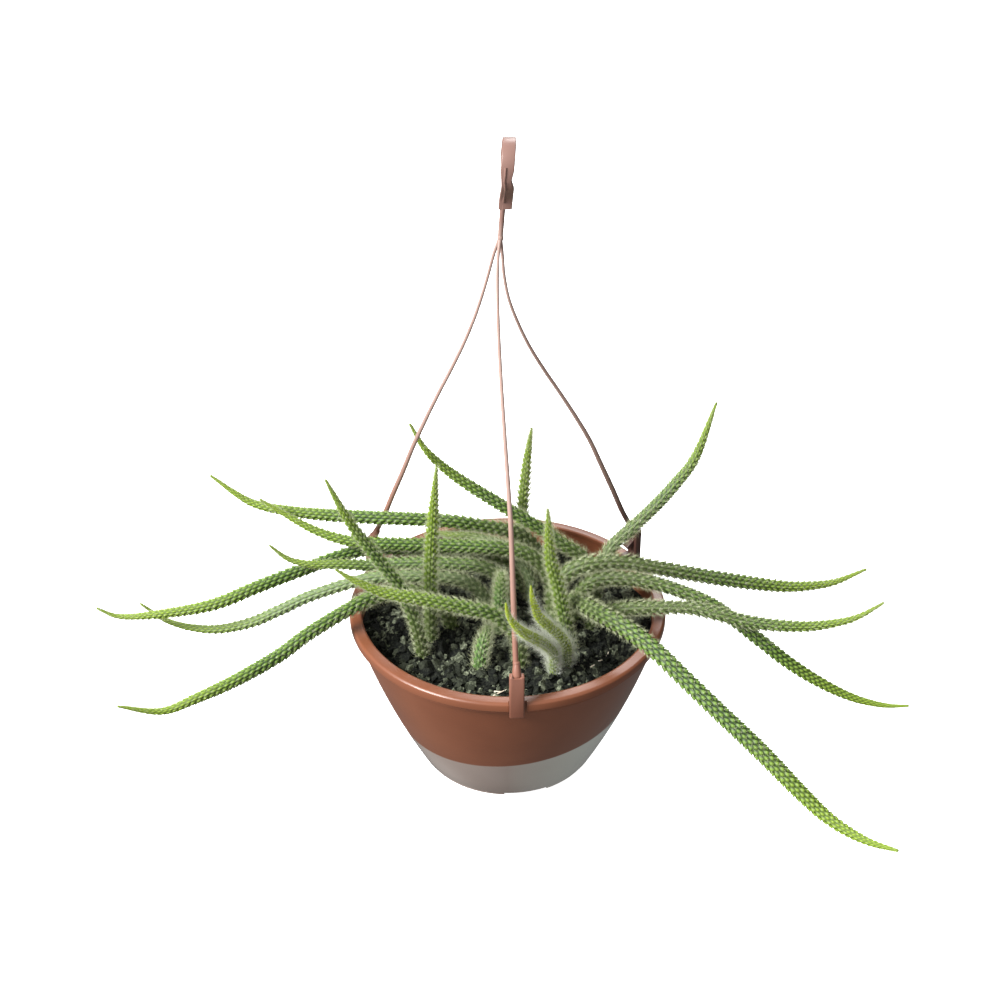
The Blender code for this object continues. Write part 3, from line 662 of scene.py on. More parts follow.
def hook_rows():
    """Side view of the hook from foot to free end: depth, height, half width, shift to the right."""
    foot = [(0.0, 0.0, 4.0), (0.0, 5.0, 4.0), (-3.0, 10.0, 3.9), (-9.5, 16.5, 3.7)]
    rows = [(depth, HOOK_FOOT_Z + rise, half, FOOT_SHIFT) for depth, rise, half in foot]
    rows.append((-HOOK_R, HOOK_FOOT_Z + 22.5, 3.0, 0.0))
    for i in range(19):
        angle = math.pi - math.pi * i / 18.0
        rows.append((HOOK_R * math.cos(angle), HOOK_CENTRE_Z + HOOK_R * math.sin(angle), HOOK_HALF, 0.0))
    return rows + [(HOOK_R, HOOK_CENTRE_Z - 6.0, HOOK_HALF * 0.85, 0.0)]


def row_middle(row):
    """The middle of one row of the strip."""
    depth, height, _, shift = row
    across = JUNCTION_X + HOOK_LEAN * (height - JUNCTION_Z) + shift
    return RIM_CENTRE + Vector((across, depth, height)) * MM


def make_hook():
    """Pull an edge along the rows, thicken the strip and round it."""
    rows = hook_rows()
    half = Vector((rows[0][2], 0.0, 0.0)) * MM
    strip = draw_line("hook", [row_middle(rows[0]) - half, row_middle(rows[0]) + half])
    bpy.ops.object.mode_set(mode="EDIT")
    bpy.ops.mesh.select_all(action="SELECT")
    for before, row in zip(rows, rows[1:]):
        step = row_middle(row) - row_middle(before)
        bpy.ops.mesh.extrude_region_move(TRANSFORM_OT_translate={"value": step})
        bpy.ops.transform.resize(value=(row[2] / before[2], 1.0, 1.0))
    bpy.ops.object.mode_set(mode="OBJECT")
    apply_modifier(strip, "SOLIDIFY", thickness=HOOK_T * MM, offset=0.0, use_even_offset=True)
    apply_modifier(strip, "BEVEL", width=0.6 * MM, segments=3, limit_method="ANGLE",
                   angle_limit=math.radians(50.0))
    return strip


def hook_ridge():
    """The raised line down the front of the hook, a little left of its middle."""
    rows = [row for row in hook_rows()[:7] if row[1] > HOOK_FOOT_Z]
    forward = Vector((-1.2, -HOOK_T / 2.0, 0.0)) * MM
    path = [row_middle(row) + forward * (1.0 if row[3] else 0.9) for row in rows]
    return round_bar("ridge", path, [0.0008] * len(path))


def make_neck():
    """The thin bar between the arms' meeting point and the hook, a little swollen at its foot."""
    low = RIM_CENTRE + Vector((JUNCTION_X, 0.0, JUNCTION_Z)) * MM
    high = RIM_CENTRE + Vector((JUNCTION_X + 1.6, 0.0, HOOK_FOOT_Z + 3.0)) * MM
    bar = round_bar("neck", [low, high], (0.0016, 0.0016))
    bpy.ops.mesh.primitive_uv_sphere_add(segments=20, ring_count=12, radius=0.0019,
                                         location=low - Vector((0.0, 0.0, MM)), scale=(1.0, 1.0, 1.3))
    return [bar, bpy.context.object]


hanger_pieces += [make_hook(), hook_ridge(), *make_neck()]
hanger = join_all(hanger_pieces)
bpy.ops.object.mode_set(mode="EDIT")
bpy.ops.mesh.select_all(action="SELECT")
bpy.ops.mesh.normals_make_consistent(inside=False)
bpy.ops.object.mode_set(mode="OBJECT")
bpy.ops.object.shade_smooth_by_angle(angle=math.radians(40.0))
hand_over(hanger, "hanger_moulding", hanger_plastic(), "hanger")

# %% [markdown]
# ## Copies by the thousand
# Grains of soil and bristles repeat thousands of times. Each is modelled once as a small object.
# Copying objects one by one would take minutes, so its mesh is stamped at many places at once into
# one mesh, with a random number on every copy that its finish can turn into a shade.

# %% Stamp a small model at many places


def stamp(name, model, places, axes, rng):
    """One object with a copy of the model's mesh at each place, turned and sized by its axes."""
    corners = np.array([vert.co for vert in model.data.vertices])
    faces = np.array([face.vertices[:] for face in model.data.polygons])
    points = np.einsum("nij,vj->nvi", axes, corners) + places[:, None, :]
    starts = np.arange(len(places)) * len(corners)
    mesh = bpy.data.meshes.new(name)
    mesh.from_pydata(points.reshape(-1, 3).tolist(), [],
                     (faces[None, :, :] + starts[:, None, None]).reshape(-1, 3).tolist())
    shade = mesh.attributes.new("shade", "FLOAT", "POINT")
    shade.data.foreach_set("value", np.repeat(rng.random(len(places)), len(corners)).astype(np.float32))
    obj = bpy.data.objects.new(name, mesh)
    bpy.context.scene.collection.objects.link(obj)
    return obj


def random_turns(count, rng):
    """Random rotations, as rows of three axes."""
    turns, _ = np.linalg.qr(rng.normal(size=(count, 3, 3)))
    flipped = np.linalg.det(turns) < 0.0
    turns[flipped, :, 0] *= -1.0
    return turns


# %% [markdown]
# ## The soil
# The mix is dark and open: crumbs of peat, bark and grit of two to eight millimetres, with deep
# shadows between them. A rough bed is made first, then a few knobbly grains are modelled from cubes
# and stamped over it, large ones last. The bed carries no shade number of its own, so it takes the
# darkest colour of the mix: painted shade between the grains.

# %% Soil finish


def soil_finish():
    """Nearly black to stone grey from grain to grain, with dusty specks; the bed between the grains is nearly
    black as painted shade.
    """
    material, shader = new_finish("soil_mix", Roughness=0.9, Specular_IOR_Level=0.2)
    grain = surface_value(material, "shade")
    dark = blend_colours(material, stretch_range(material, grain, 0.3, 1.0), (0.003, 0.004, 0.003),
                         (0.070, 0.080, 0.052))
    dust = stretch_range(material, noise(material, 700.0, 4.0), 0.48, 0.62)
    pale = stretch_range(material, grain, 0.60, 0.90, 0.08, 1.0)
    share = add_node(material, "ShaderNodeMath", {0: dust, 1: pale}, operation="MULTIPLY").outputs[0]
    colour = blend_colours(material, share, dark, (0.200, 0.220, 0.150))
    material.node_tree.links.new(colour, shader.inputs["Base Color"])
    set_bump(material, shader, noise(material, 1600.0, 4.0), 0.7, 0.0006)
    return material


# %% Rough bed
SOIL_Z = -16.0
BED_DROP = 1.6
soil_rng = np.random.default_rng(5)


def make_bed():
    """A plug that fills the bowl below the grains, with an uneven top."""
    top_r = body_radius(SOIL_Z) - WALL - 0.7
    rows = [(0.0, SOIL_Z - BED_DROP)]
    rows += [(top_r * i / 20.0, SOIL_Z - BED_DROP) for i in range(1, 21)]
    rows += [(body_radius(z) - WALL - 0.9, z) for z in (-50.0, -80.0, FLOOR_HEIGHT + 0.3)]
    rows += [(0.0, FLOOR_HEIGHT + 0.3)]
    bed = draw_line("bed", [RIM_CENTRE + Vector((r * MM, 0.0, z * MM)) for r, z in rows])
    spin_round(bed, 72)
    bpy.ops.object.mode_set(mode="EDIT")
    top = (RIM_CENTRE - bed.location).z + (SOIL_Z - BED_DROP) * MM
    pick(bed, lambda place: abs(place.z - top) < 0.0001)
    bpy.ops.transform.vertex_random(offset=0.0016, normal=0.4, seed=3)
    bpy.ops.object.mode_set(mode="OBJECT")
    select_only(bed)
    bpy.ops.object.transform_apply(location=True, rotation=True, scale=True)
    return bed


bed = make_bed()
print("bed faces:", len(bed.data.polygons))

# %% [markdown]
# ## The stems' routes
# A rat tail stem rises from the soil, leans over and wanders off on its own. Each is given by a few
# points, in millimetres from the centre of the rim, and by its thickness at the tips of its warts.

# %% Routes of the stems
STEMS = {
    "stem_01": (5.0, ((12, 36, -14), (6, 35, 6), (-14, 33, 17), (-46, 32, 20), (-76, 31, 23), (-103, 28, 22),
                      (-137, 14, 17), (-165, 2, 12), (-192, -6, 4), (-220, -9, -1), (-255, -10, -4),
                      (-271, -11, 4))),
    "stem_02": (4.5, ((-14, 6, -14), (-17, 6, 3), (-28, 4, 15), (-45, 3, 19), (-71, 1, 21), (-95, 0, 19),
                      (-130, 0, 6), (-152, 0, -6), (-174, 0, -17), (-200, 0, -22), (-227, 3, -18),
                      (-246, 4, -3))),
    "stem_03": (5.1, ((-38, -3, -14), (-43, -4, 0), (-56, -7, 13), (-74, -13, 18), (-93, -24, 19),
                      (-126, -44, 9), (-145, -56, 0), (-171, -71, -8), (-197, -82, -15), (-218, -88, -20),
                      (-243, -95, -10))),
    "stem_04": (5.1, ((22, 50, -14), (19, 49, 9), (7, 46, 25), (-21, 38, 37), (-40, 34, 43), (-68, 32, 46),
                      (-96, 34, 46), (-124, 37, 46), (-147, 40, 47), (-173, 45, 51), (-199, 50, 69))),
    "stem_05": (4.9, ((30, 20, -14), (28, 20, 8), (16, 20, 24), (-1, 20, 30), (-40, 21, 32), (-75, 20, 34),
                      (-97, 20, 35), (-113, 22, 37), (-129, 25, 42), (-146, 28, 51), (-164, 30, 63))),
    "stem_06": (4.6, ((0, 14, -14), (-3, 14, 8), (-16, 13, 20), (-44, 13, 23), (-71, 13, 23), (-88, 12, 22),
                      (-109, 9, 25), (-129, 6, 27), (-144, 5, 32), (-156, 4, 44))),
    "stem_07": (4.4, ((-56, -34, -14), (-59, -35, 8), (-67, -36, 36), (-75, -36, 50), (-86, -37, 69),
                      (-98, -38, 90), (-111, -38, 121))),
    "stem_08": (4.8, ((8, -44, -14), (6, -44, 6), (-8, -46, 24), (-30, -49, 33), (-57, -51, 41),
                      (-77, -52, 46), (-95, -52, 55), (-107, -52, 64))),
    "stem_09": (4.6, ((-51, -17, -14), (-50, -17, 28), (-49, -17, 52), (-47, -17, 81), (-44, -17, 117))),
    "stem_10": (4.8, ((60, 38, -14), (57, 38, 0), (50, 38, 12), (37, 38, 22), (24, 39, 32), (-2, 40, 50),
                      (-34, 43, 72), (-53, 44, 91), (-64, 45, 112))),
    "stem_11": (4.2, ((6, 64, -14), (8, 64, 6), (10, 63, 30), (11, 62, 48), (13, 61, 73), (16, 60, 100))),
    "stem_12": (4.6, ((41, -29, -14), (38, -30, 4), (35, -31, 20), (32, -31, 37), (27, -31, 58),
                      (25, -31, 95))),
    "stem_13": (4.7, ((58, 14, -14), (61, 16, 10), (69, 20, 31), (83, 26, 43), (97, 32, 55), (110, 38, 68),
                      (124, 44, 87), (136, 50, 125))),
    "stem_14": (5.6, ((30, 4, -14), (32, 4, 8), (40, 4, 22), (54, 5, 28), (75, 8, 27), (97, 10, 22),
                      (140, 16, 9), (184, 22, -2), (206, 24, -3), (223, 26, -1), (243, 28, 8))),
    "stem_15": (4.8, ((56, -4, -14), (60, -8, -2), (69, -16, 6), (84, -22, 12), (115, -27, 16),
                      (135, -31, 14), (155, -34, 10), (175, -37, 9), (195, -39, 10), (214, -41, 15),
                      (226, -42, 21), (239, -43, 32))),
    "stem_16": (5.0, ((46, 4, -14), (48, 2, 6), (56, -1, 18), (70, -4, 23), (88, -8, 24), (109, -12, 20),
                      (136, -18, 10), (165, -24, -12), (186, -29, -28), (208, -34, -41), (229, -38, -50),
                      (249, -42, -53), (265, -45, -51))),
    "stem_17": (6.0, ((34, -10, -14), (35, -12, 2), (41, -16, 13), (49, -27, 19), (56, -39, 22),
                      (63, -50, 25), (73, -60, 25), (91, -76, 20), (109, -94, 11), (127, -112, 2),
                      (152, -134, -12), (175, -156, -26), (191, -172, -33), (208, -190, -32),
                      (224, -206, -25))),
    "stem_18": (4.2, ((16, 24, -14), (15, 25, 2), (9, 28, 15), (-2, 30, 25), (-12, 30, 29), (-26, 30, 33),
                      (-36, 28, 35), (-44, 28, 37), (-53, 28, 38))),
    "young_stem_1": (3.8, ((30, -53, -14), (29, -58, 2), (25, -67, 15), (20, -77, 27), (14, -88, 39),
                           (8, -97, 50), (3, -103, 61), (0, -107, 71), (-1, -109, 80))),
    "young_stem_2": (3.8, ((38, -47, -14), (38, -53, 3), (34, -60, 17), (27, -66, 29), (20, -72, 41),
                           (17, -75, 51), (15, -77, 60), (14, -79, 71))),
    "stub_1": (4.8, ((-18, -47, -14), (-16, -42, -2), (-12, -36, 9))),
    "stub_2": (4.6, ((-6, -8, -14), (-5, -6, 8), (-4, -4, 28))),
}
ROOT_DEPTH = 24.0
PATH_STEP = 0.004


def stem_path(name):
    """The stem's middle line from its root in the soil to its tip, and its length."""
    points = [RIM_CENTRE + Vector(point) * MM for point in STEMS[name][1]]
    foot = Vector((points[0].x, points[0].y, RIM_CENTRE.z - ROOT_DEPTH * MM))
    return smooth_path([foot, foot.lerp(points[0], 0.5), *points], PATH_STEP)


print("stems:", len(STEMS), "of", round(sum(stem_path(name)[1] for name in STEMS), 2), "metres in all")

# %% [markdown]
# ## Grains
# A grain starts as a cube. Its edges are bevelled and its corners are pushed about at random, which
# gives a lump with crisp broken faces. Four such lumps are enough, because every stamped copy is
# turned and stretched in its own way.

# %% Model four grains and stamp them


def model_grain(seed):
    """A knobbly lump about one metre across, which the stamping brings to its real size."""
    bpy.ops.mesh.primitive_cube_add(size=0.9, location=(0.0, 0.0, 0.0))
    grain = bpy.context.object
    bpy.ops.object.mode_set(mode="EDIT")
    bpy.ops.mesh.select_all(action="SELECT")
    bpy.ops.mesh.bevel(offset=0.11, segments=1, affect="EDGES")
    bpy.ops.mesh.select_all(action="SELECT")
    bpy.ops.transform.vertex_random(offset=0.26, uniform=1.0, seed=seed)
    bpy.ops.mesh.quads_convert_to_tris()
    bpy.ops.mesh.normals_make_consistent(inside=False)
    bpy.ops.object.mode_set(mode="OBJECT")
    return grain


def clear_of_stems(spots, margin):
    """Which spots on the soil keep away from every stem."""
    free = np.ones(len(spots), bool)
    for radius, points in STEMS.values():
        foot = np.array(points[0][:2], float)
        free &= np.linalg.norm(spots / MM - foot, axis=1) > radius + margin
    return free


def scatter_grains(count, smallest, largest, depth, seed):
    """Stamp grains of a size range over the bed."""
    size = smallest + (largest - smallest) * soil_rng.random(count) ** 2.0
    spread = (body_radius(SOIL_Z) - WALL - 1.2 - size * 0.75) * np.sqrt(soil_rng.random(count))
    angle = soil_rng.random(count) * TAU
    spots = np.stack([spread * np.cos(angle), spread * np.sin(angle)], axis=1) * MM
    free = clear_of_stems(spots, largest * 0.15)
    spots, size, count = spots[free], size[free], int(free.sum())
    height = SOIL_Z - depth - size * 0.15 + soil_rng.normal(size=count) * 0.45
    places = np.column_stack([spots[:, 0], spots[:, 1], height * MM]) + np.array(RIM_CENTRE)
    stretch = 0.45 + 0.9 * soil_rng.random((count, 3))
    axes = random_turns(count, soil_rng) * (size[:, None] * stretch * MM)[:, None, :]
    model = model_grain(seed)
    grains = stamp("grains", model, places, axes, soil_rng)
    remove(model)
    return grains


GRAIN_LAYERS = ((1400, 2.0, 3.8, 0.9, 11), (900, 2.6, 4.8, 0.2, 12), (420, 4.0, 7.5, 0.2, 13),
                (70, 7.0, 10.0, 0.4, 14))
# The bed has no shade number, so it gets the darkest soil colour: painted shade in the gaps.
soil = join_all([bed, *[scatter_grains(*layer) for layer in GRAIN_LAYERS]])
hand_over(soil, "soil_surface", soil_finish(), "soil")

# %% [markdown]
# ## The skin of a stem
# The skin is ribbed, and every rib is a row of small pointed warts. Neighbouring ribs are half a
# step apart, so the warts make a net of diamonds. All stems share this skin, so one whorl of warts
# is modelled by hand on a short tube, repeated along a straight stem with Array, and bent to its
# route with Curve, whose radius gives the taper.

# %% Model one whorl of warts
RIBS = 10
WHORL_R = 5.0 * MM
WHORL_STEP = 4.8 * MM
ROUND_STEPS = 4 * RIBS
RINGS = 4
# How far the skin reaches at a wart's point, just past it, between two warts, and before the next
ALONG_RIB = (1.0, 0.76, 0.68, 0.84)
# How much of that its flanks keep
FLANK = (0.72, 0.40, 0.20, 0.50)
VALLEY = 0.64
POINT_LEAN = 1.2 * MM


def wart_reach(place):
    """How far the skin reaches at a point of the tube: ribs stand out, and warts more so."""
    step = round(math.atan2(place.y, place.x) / TAU * ROUND_STEPS) % ROUND_STEPS
    ring = round((place.z + WHORL_STEP / 2.0) / (WHORL_STEP / RINGS))
    rib, beside = divmod(step + 1, 4)
    beside = abs(beside - 1)
    phase = (ring + (0 if rib % 2 else RINGS // 2)) % RINGS
    if beside == 2:
        return VALLEY
    if beside == 1:
        return VALLEY + (ALONG_RIB[phase] - VALLEY) * FLANK[phase]
    return ALONG_RIB[phase]


def model_whorl():
    """A short tube with one wart for each rib."""
    bpy.ops.mesh.primitive_cylinder_add(vertices=ROUND_STEPS, radius=WHORL_R, depth=WHORL_STEP,
                                        end_fill_type="NOTHING", location=(0.0, 0.0, 0.0))
    whorl = bpy.context.object
    bpy.ops.object.mode_set(mode="EDIT")
    bm = bmesh.from_edit_mesh(whorl.data)
    for edge in bm.edges:
        edge.select_set(abs(edge.verts[0].co.z - edge.verts[1].co.z) > WHORL_STEP / 2.0)
    bmesh.update_edit_mesh(whorl.data)
    bpy.ops.mesh.subdivide(number_cuts=RINGS - 1)
    for reach in sorted({wart_reach(vert.co) for vert in bmesh.from_edit_mesh(whorl.data).verts}):
        pick(whorl, lambda place: wart_reach(place) == reach)
        bpy.ops.transform.resize(value=(reach, reach, 1.0))
    pick(whorl, lambda place: math.hypot(place.x, place.y) > WHORL_R * 0.99)
    bpy.ops.transform.translate(value=(0.0, 0.0, POINT_LEAN))
    bpy.ops.object.mode_set(mode="OBJECT")
    return whorl


whorl = model_whorl()
print("whorl faces:", len(whorl.data.polygons))


def straight_skin(name, length, step):
    """A straight stem along +Z: the whorl repeated, its tip drawn together and its root closed."""
    rows = round(length / step)
    skin = copy_of(whorl, name)
    apply_modifier(skin, "ARRAY", count=rows, use_relative_offset=False, use_constant_offset=True,
                   constant_offset_displace=(0.0, 0.0, WHORL_STEP), use_merge_vertices=True,
                   merge_threshold=0.00001)
    top = (rows - 0.5) * WHORL_STEP
    bpy.ops.object.mode_set(mode="EDIT")
    pick(skin, lambda place: place.z > top - 0.0001)
    bpy.ops.mesh.merge(type="CENTER")
    bpy.ops.mesh.select_all(action="SELECT")
    bpy.ops.mesh.fill_holes(sides=0)
    bpy.ops.object.mode_set(mode="OBJECT")
    return skin, rows * WHORL_STEP


CROWDING = 0.3
# Where along a stem its fresh yellow green begins, and how pale and grey the whole stem is
FRESH_FROM = {"stem_09": 0.12, "stem_12": 0.2, "stem_08": 0.4, "stem_11": 0.0, "young": -0.3}
# How far up a stem the olive of its old skin reaches
OLD_UNTIL = {"stem_14": 0.8, "stem_15": 0.8, "stem_16": 0.5, "stem_18": 0.9, "stem_13": 0.6}
PALE = {"stem_02": 0.75, "stem_11": 0.4, "stem_13": 0.35, "stem_06": 0.3, "stem_18": 0.9}


def crowd_warts(skin, name, span, length):
    """Bring the skin to its length, warts closer together towards the tip, and note what its finish needs."""
    points = np.array([vert.co for vert in skin.data.vertices])
    reach = np.hypot(points[:, 0], points[:, 1]) / WHORL_R
    share = np.clip((points[:, 2] + WHORL_STEP / 2.0) / span, 0.0, 1.0)
    share *= 1.0 + CROWDING * (1.0 - share)
    points[:, 2] = share * length
    skin.data.vertices.foreach_set("co", points.ravel())
    start = FRESH_FROM.get(name, FRESH_FROM.get(name.split("_")[0], 0.62))
    notes = {"rise": (reach - VALLEY) / (1.0 - VALLEY), "along": share,
             "fresh": (share - start) / (0.97 - start), "pale": np.full(len(share), PALE.get(name, 0.0)),
             "old": 1.0 - share / OLD_UNTIL.get(name, 0.35)}
    for key, values in notes.items():
        note = skin.data.attributes.new(key, "FLOAT", "POINT")
        note.data.foreach_set("value", np.clip(values, 0.0, 1.0).astype(np.float32))


TIP_LENGTH = 0.11
STUB_TIP = 0.012


def taper(distance, length, blunt):
    """Share of the full thickness at a distance from the root."""
    tip = STUB_TIP if blunt else min(TIP_LENGTH, 0.45 * length)
    share = max(0.0, (distance - (length - tip)) / tip)
    return 1.0 - (0.6 if blunt else 0.84) * share ** (1.5 if blunt else 1.9)


def bend_to_route(skin, name, path, length):
    """Bend a straight skin along its route and let it taper."""
    blunt = name.startswith("stub")
    distances = np.linspace(0.0, length, len(path))
    full = STEMS[name][0] * MM / WHORL_R
    route = path_curve("route", path, [full * taper(d, length, blunt) for d in distances])
    route.data.use_radius = True
    apply_modifier(skin, "CURVE", object=route, deform_axis="POS_Z")
    bpy.data.objects.remove(route)
    bpy.ops.object.mode_set(mode="EDIT")
    bpy.ops.mesh.select_all(action="SELECT")
    bpy.ops.transform.vertex_random(offset=0.00014, seed=len(path))
    bpy.ops.mesh.normals_make_consistent(inside=False)
    bpy.ops.object.mode_set(mode="OBJECT")
    bpy.ops.object.shade_smooth()


# %% [markdown]
# The flesh is mid green on the warts and pale where a tuft of bristles grows. It is painted deep green
# in the valleys: partly the skin's own darker green, partly painted shade. Towards the growing tip it
# turns yellow green, towards the root a dull grey green. The mesh carries two numbers for this: how
# high a point stands on its wart, and how far along the stem it is.

# %% Finish of the flesh


def flesh_finish(name, valley, wart, tip, felt, root):
    """Green that follows the warts and the length of the stem, darker in the valleys as partly painted shade.
    """
    material, shader = new_finish(name, Roughness=0.5, IOR=1.42)
    rise = surface_value(material, "rise")
    clouds = stretch_range(material, noise(material, 160.0), 0.3, 0.7)
    # Valleys darker than warts: partly the skin's own green, partly painted shade; the tip colour also stays
    # weaker low on the warts.
    low = blend_colours(material, clouds, valley, tuple(1.3 * v for v in valley))
    high = blend_colours(material, clouds, wart, tuple(1.25 * v for v in wart))
    green = blend_colours(material, stretch_range(material, rise, 0.04, 0.5), low, high)
    old = stretch_range(material, surface_value(material, "old"), 0.0, 0.5, 0.0, 0.7)
    aged = blend_colours(material, old, green, root)
    share = add_node(material, "ShaderNodeMath", {0: surface_value(material, "pale"), 1: 0.6},
                     operation="MULTIPLY").outputs[0]
    greyed = blend_colours(material, share, aged, PALE_GREEN)
    lift = stretch_range(material, rise, 0.0, 0.6, 0.3, 1.0)
    fresh = add_node(material, "ShaderNodeMath", {0: surface_value(material, "fresh"), 1: lift},
                     operation="MULTIPLY").outputs[0]
    bright = blend_colours(material, fresh, greyed, tip)
    tuft = stretch_range(material, rise, 0.90, 1.0, 0.0, 0.5)
    material.node_tree.links.new(blend_colours(material, tuft, bright, felt), shader.inputs["Base Color"])
    set_bump(material, shader, noise(material, 2200.0, 3.0), 0.25, 0.0003)
    return material


PALE_GREEN = (0.190, 0.240, 0.130)
FLESH = {
    "stem": flesh_finish("stem_flesh", (0.015, 0.034, 0.006), (0.112, 0.192, 0.030), (0.240, 0.340, 0.022),
                         (0.280, 0.350, 0.130), (0.075, 0.098, 0.032)),
    "young": flesh_finish("young_flesh", (0.028, 0.055, 0.008), (0.220, 0.310, 0.045), (0.440, 0.540, 0.040),
                          (0.560, 0.640, 0.220), (0.160, 0.220, 0.090)),
    "stub": flesh_finish("stub_flesh", (0.022, 0.050, 0.010), (0.105, 0.210, 0.045), (0.150, 0.230, 0.050),
                         (0.200, 0.280, 0.110), (0.085, 0.120, 0.045)),
}

# %% [markdown]
# ## Bristles
# Every wart ends in a tuft of fine bristles. They are short and sparse on the trailing part, longer
# and denser near the root, and on young stems they are soft white hairs that hide the skin. One
# three-sided needle is modelled and stamped on all the warts of a stem, fanned out at random.

# %% Model a bristle and plant it


def model_bristle():
    """A needle with its foot at the origin and its point one metre up, to be sized by stamping."""
    bpy.ops.mesh.primitive_cone_add(vertices=3, radius1=1.0, radius2=0.0, depth=1.0, location=(0.0, 0.0, 0.5))
    needle = bpy.context.object
    bpy.ops.object.transform_apply(location=True, rotation=True, scale=True)
    return needle


needle = model_bristle()
BRISTLES = {
    "stem": {"count": 26, "least": 0.26, "short": 1.1, "long": 2.7, "thick": 0.052, "forward": 0.3},
    "young": {"count": 22, "least": 0.30, "short": 2.0, "long": 5.4, "thick": 0.060, "forward": 0.7},
    "stub": {"count": 24, "least": 0.30, "short": 1.4, "long": 3.6, "thick": 0.050, "forward": 0.3},
}
FOOT_SPREAD = 0.55 * MM
SUNK = 0.3 * MM
DENSE_LENGTH = 0.10


def unit(vectors):
    """The same directions at length one."""
    return vectors / np.linalg.norm(vectors, axis=1, keepdims=True)


def warts_of(skin, path, length):
    """Place, outward direction, direction of growth and distance from the root of each wart."""
    count = len(skin.data.vertices)
    place, outward = np.empty(count * 3), np.empty(count * 3)
    rise, along = np.empty(count), np.empty(count)
    skin.data.vertices.foreach_get("co", place)
    skin.data.vertices.foreach_get("normal", outward)
    skin.data.attributes["rise"].data.foreach_get("value", rise)
    skin.data.attributes["along"].data.foreach_get("value", along)
    place, outward = place.reshape(-1, 3), outward.reshape(-1, 3)
    chosen = (rise > 0.97) & (place[:, 2] > RIM_CENTRE.z + (SOIL_Z - 2.0) * MM)
    nearest = np.round(along[chosen] * (len(path) - 1)).astype(int)
    growth = unit(np.gradient(path, axis=0))[nearest]
    return place[chosen], outward[chosen], growth, along[chosen] * length


def plant_bristles(name, skin, path, length, rng):
    """A fan of needles on every wart of a stem."""
    look = BRISTLES[name.split("_")[0]]
    place, outward, growth, distance = warts_of(skin, path, length)
    place, outward, growth = (np.repeat(rows, look["count"], axis=0) for rows in (place, outward, growth))
    distance = np.repeat(distance, look["count"])
    dense = np.clip(1.6 - distance / DENSE_LENGTH, 0.0, 1.0)
    if name.startswith("young"):
        dense = 1.0 - np.clip(distance / length, 0.0, 1.0)
    kept = rng.random(len(distance)) < look["least"] + (1.0 - look["least"]) * dense
    if name.startswith("young"):
        kept &= rng.random(len(distance)) < np.clip(2.2 * dense, 0.0, 1.0)
    place, outward, growth, dense = place[kept], outward[kept], growth[kept], dense[kept]
    count = len(place)
    turn = rng.random(count) * TAU
    lean = np.radians(15.0 + 55.0 * rng.random(count))
    side = unit(np.cross(outward, growth))
    across = growth * np.cos(turn)[:, None] + side * np.sin(turn)[:, None]
    aim = outward * np.cos(lean)[:, None] + across * np.sin(lean)[:, None] + growth * look["forward"]
    aim = unit(aim)
    size = look["short"] + (look["long"] - look["short"]) * rng.random(count)
    size *= 1.0 + 0.9 * dense
    foot = place + side * (rng.normal(size=count) * FOOT_SPREAD)[:, None]
    foot += growth * (rng.normal(size=count) * FOOT_SPREAD)[:, None]
    first = unit(np.cross(aim, rng.normal(size=(count, 3))))
    second = np.cross(aim, first)
    thick = look["thick"] * MM
    axes = np.stack([first * thick, second * thick, aim * (size * MM)[:, None]], axis=2)
    return stamp(name + "_bristles", needle, foot - outward * SUNK, axes, rng)


def bristle_finish(name, dark, light):
    """Needles from a darker to a lighter shade."""
    material, shader = new_finish(name, Roughness=0.5)
    colour = blend_colours(material, surface_value(material, "shade"), dark, light)
    material.node_tree.links.new(colour, shader.inputs["Base Color"])
    return material


# %% Grow every stem
WART_STEPS = {"stem": 4.8 * MM, "young": 3.4 * MM, "stub": 4.2 * MM}
straw_bristles = bristle_finish("straw_bristles", (0.260, 0.280, 0.130), (0.660, 0.710, 0.470))
white_hairs = bristle_finish("white_hairs", (0.520, 0.550, 0.440), (0.860, 0.880, 0.800))
stem_rng = np.random.default_rng(23)


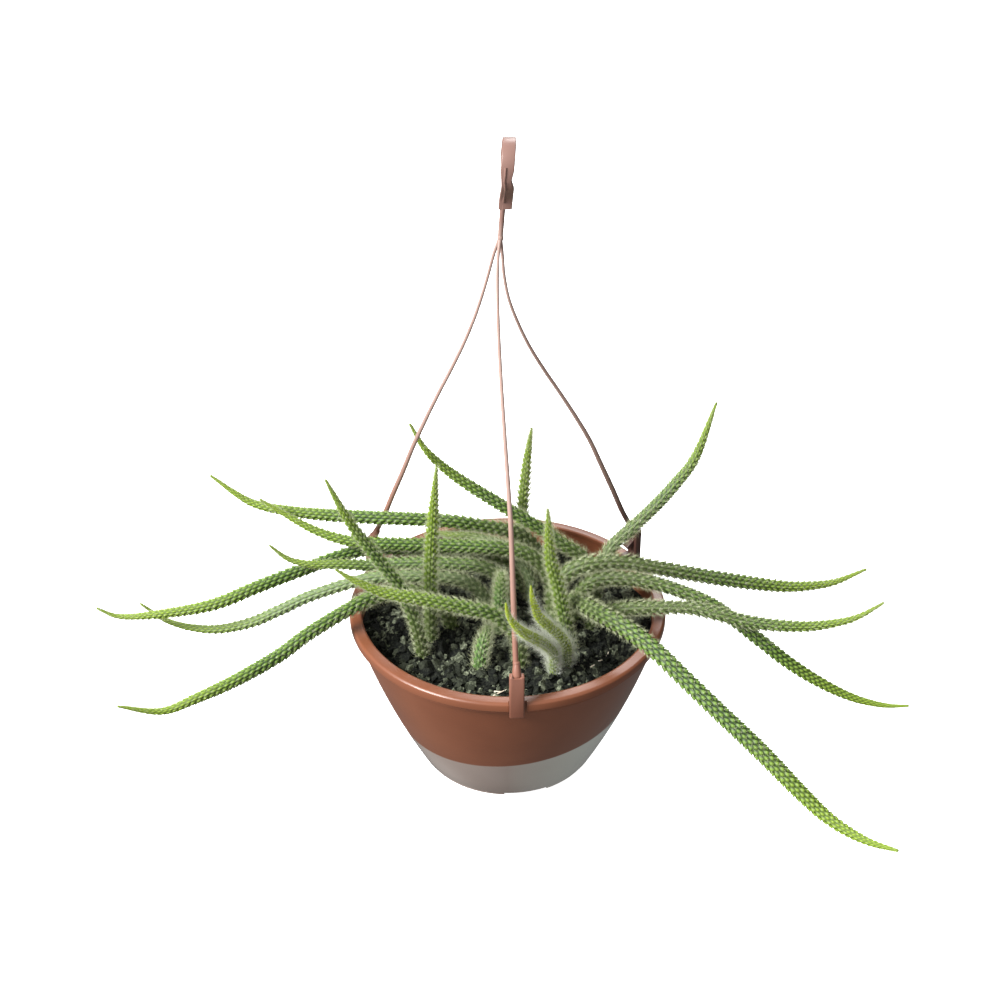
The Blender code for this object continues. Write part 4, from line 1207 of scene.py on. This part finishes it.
def grow_stem(name):
    """Skin and bristles of one stem."""
    kind = name.split("_")[0]
    path, length = stem_path(name)
    skin, span = straight_skin(name, length, WART_STEPS[kind])
    crowd_warts(skin, name, span, length)
    bend_to_route(skin, name, path, length)
    tuft = plant_bristles(name, skin, path, length, stem_rng)
    hand_over(skin, name + "_skin", FLESH[kind], name)
    hand_over(tuft, name + "_bristles", white_hairs if kind == "young" else straw_bristles)


for stem in STEMS:
    grow_stem(stem)
remove(whorl)
remove(needle)

# %% [markdown]
# ## Straw
# A few pale splinters of straw and bark lie on the soil, a forked one by the front clip.
# They are thin wedges, stamped flat on the grains.

# %% Splinters
# Place, length and direction of each on the soil
SPLINTERS = ((-4.8, -76.6, 10.0, 29.0), (-6.4, -75.6, 4.5, -13.0), (55.8, -48.6, 6.0, 38.0),
             (65.1, -37.1, 4.5, 70.0), (60.0, -44.0, 3.5, 15.0))


def splinter_finish():
    """Bleached straw."""
    material, shader = new_finish("straw", Roughness=0.7)
    streaks = stretch_range(material, noise(material, 500.0), 0.3, 0.7)
    colour = blend_colours(material, streaks, (0.50, 0.42, 0.30), (0.78, 0.72, 0.60))
    material.node_tree.links.new(colour, shader.inputs["Base Color"])
    return material


def lay_splinters():
    """Thin wedges at their places, tilted a little."""
    bpy.ops.mesh.primitive_cube_add(size=1.0, location=(0.0, 0.0, 0.0))
    wedge = bpy.context.object
    bpy.ops.object.mode_set(mode="EDIT")
    pick(wedge, lambda place: place.x > 0.0)
    bpy.ops.transform.resize(value=(1.0, 0.35, 0.5))
    bpy.ops.mesh.select_all(action="SELECT")
    bpy.ops.mesh.bevel(offset=0.12, segments=1, affect="EDGES")
    bpy.ops.mesh.select_all(action="SELECT")
    bpy.ops.mesh.quads_convert_to_tris()
    bpy.ops.object.mode_set(mode="OBJECT")
    places = np.array([RIM_CENTRE + Vector((x, y, SOIL_Z + 2.0)) * MM for x, y, _, _ in SPLINTERS])
    axes = []
    for _, _, length, angle in SPLINTERS:
        turn = Matrix.Rotation(math.radians(angle), 3, "Z") @ Matrix.Rotation(math.radians(-8.0), 3, "Y")
        axes.append(np.array(turn) * np.array([length, 1.1, 0.7]) * MM)
    straw = stamp("straw", wedge, places, np.array(axes), soil_rng)
    remove(wedge)
    return straw


hand_over(lay_splinters(), "straw", splinter_finish())
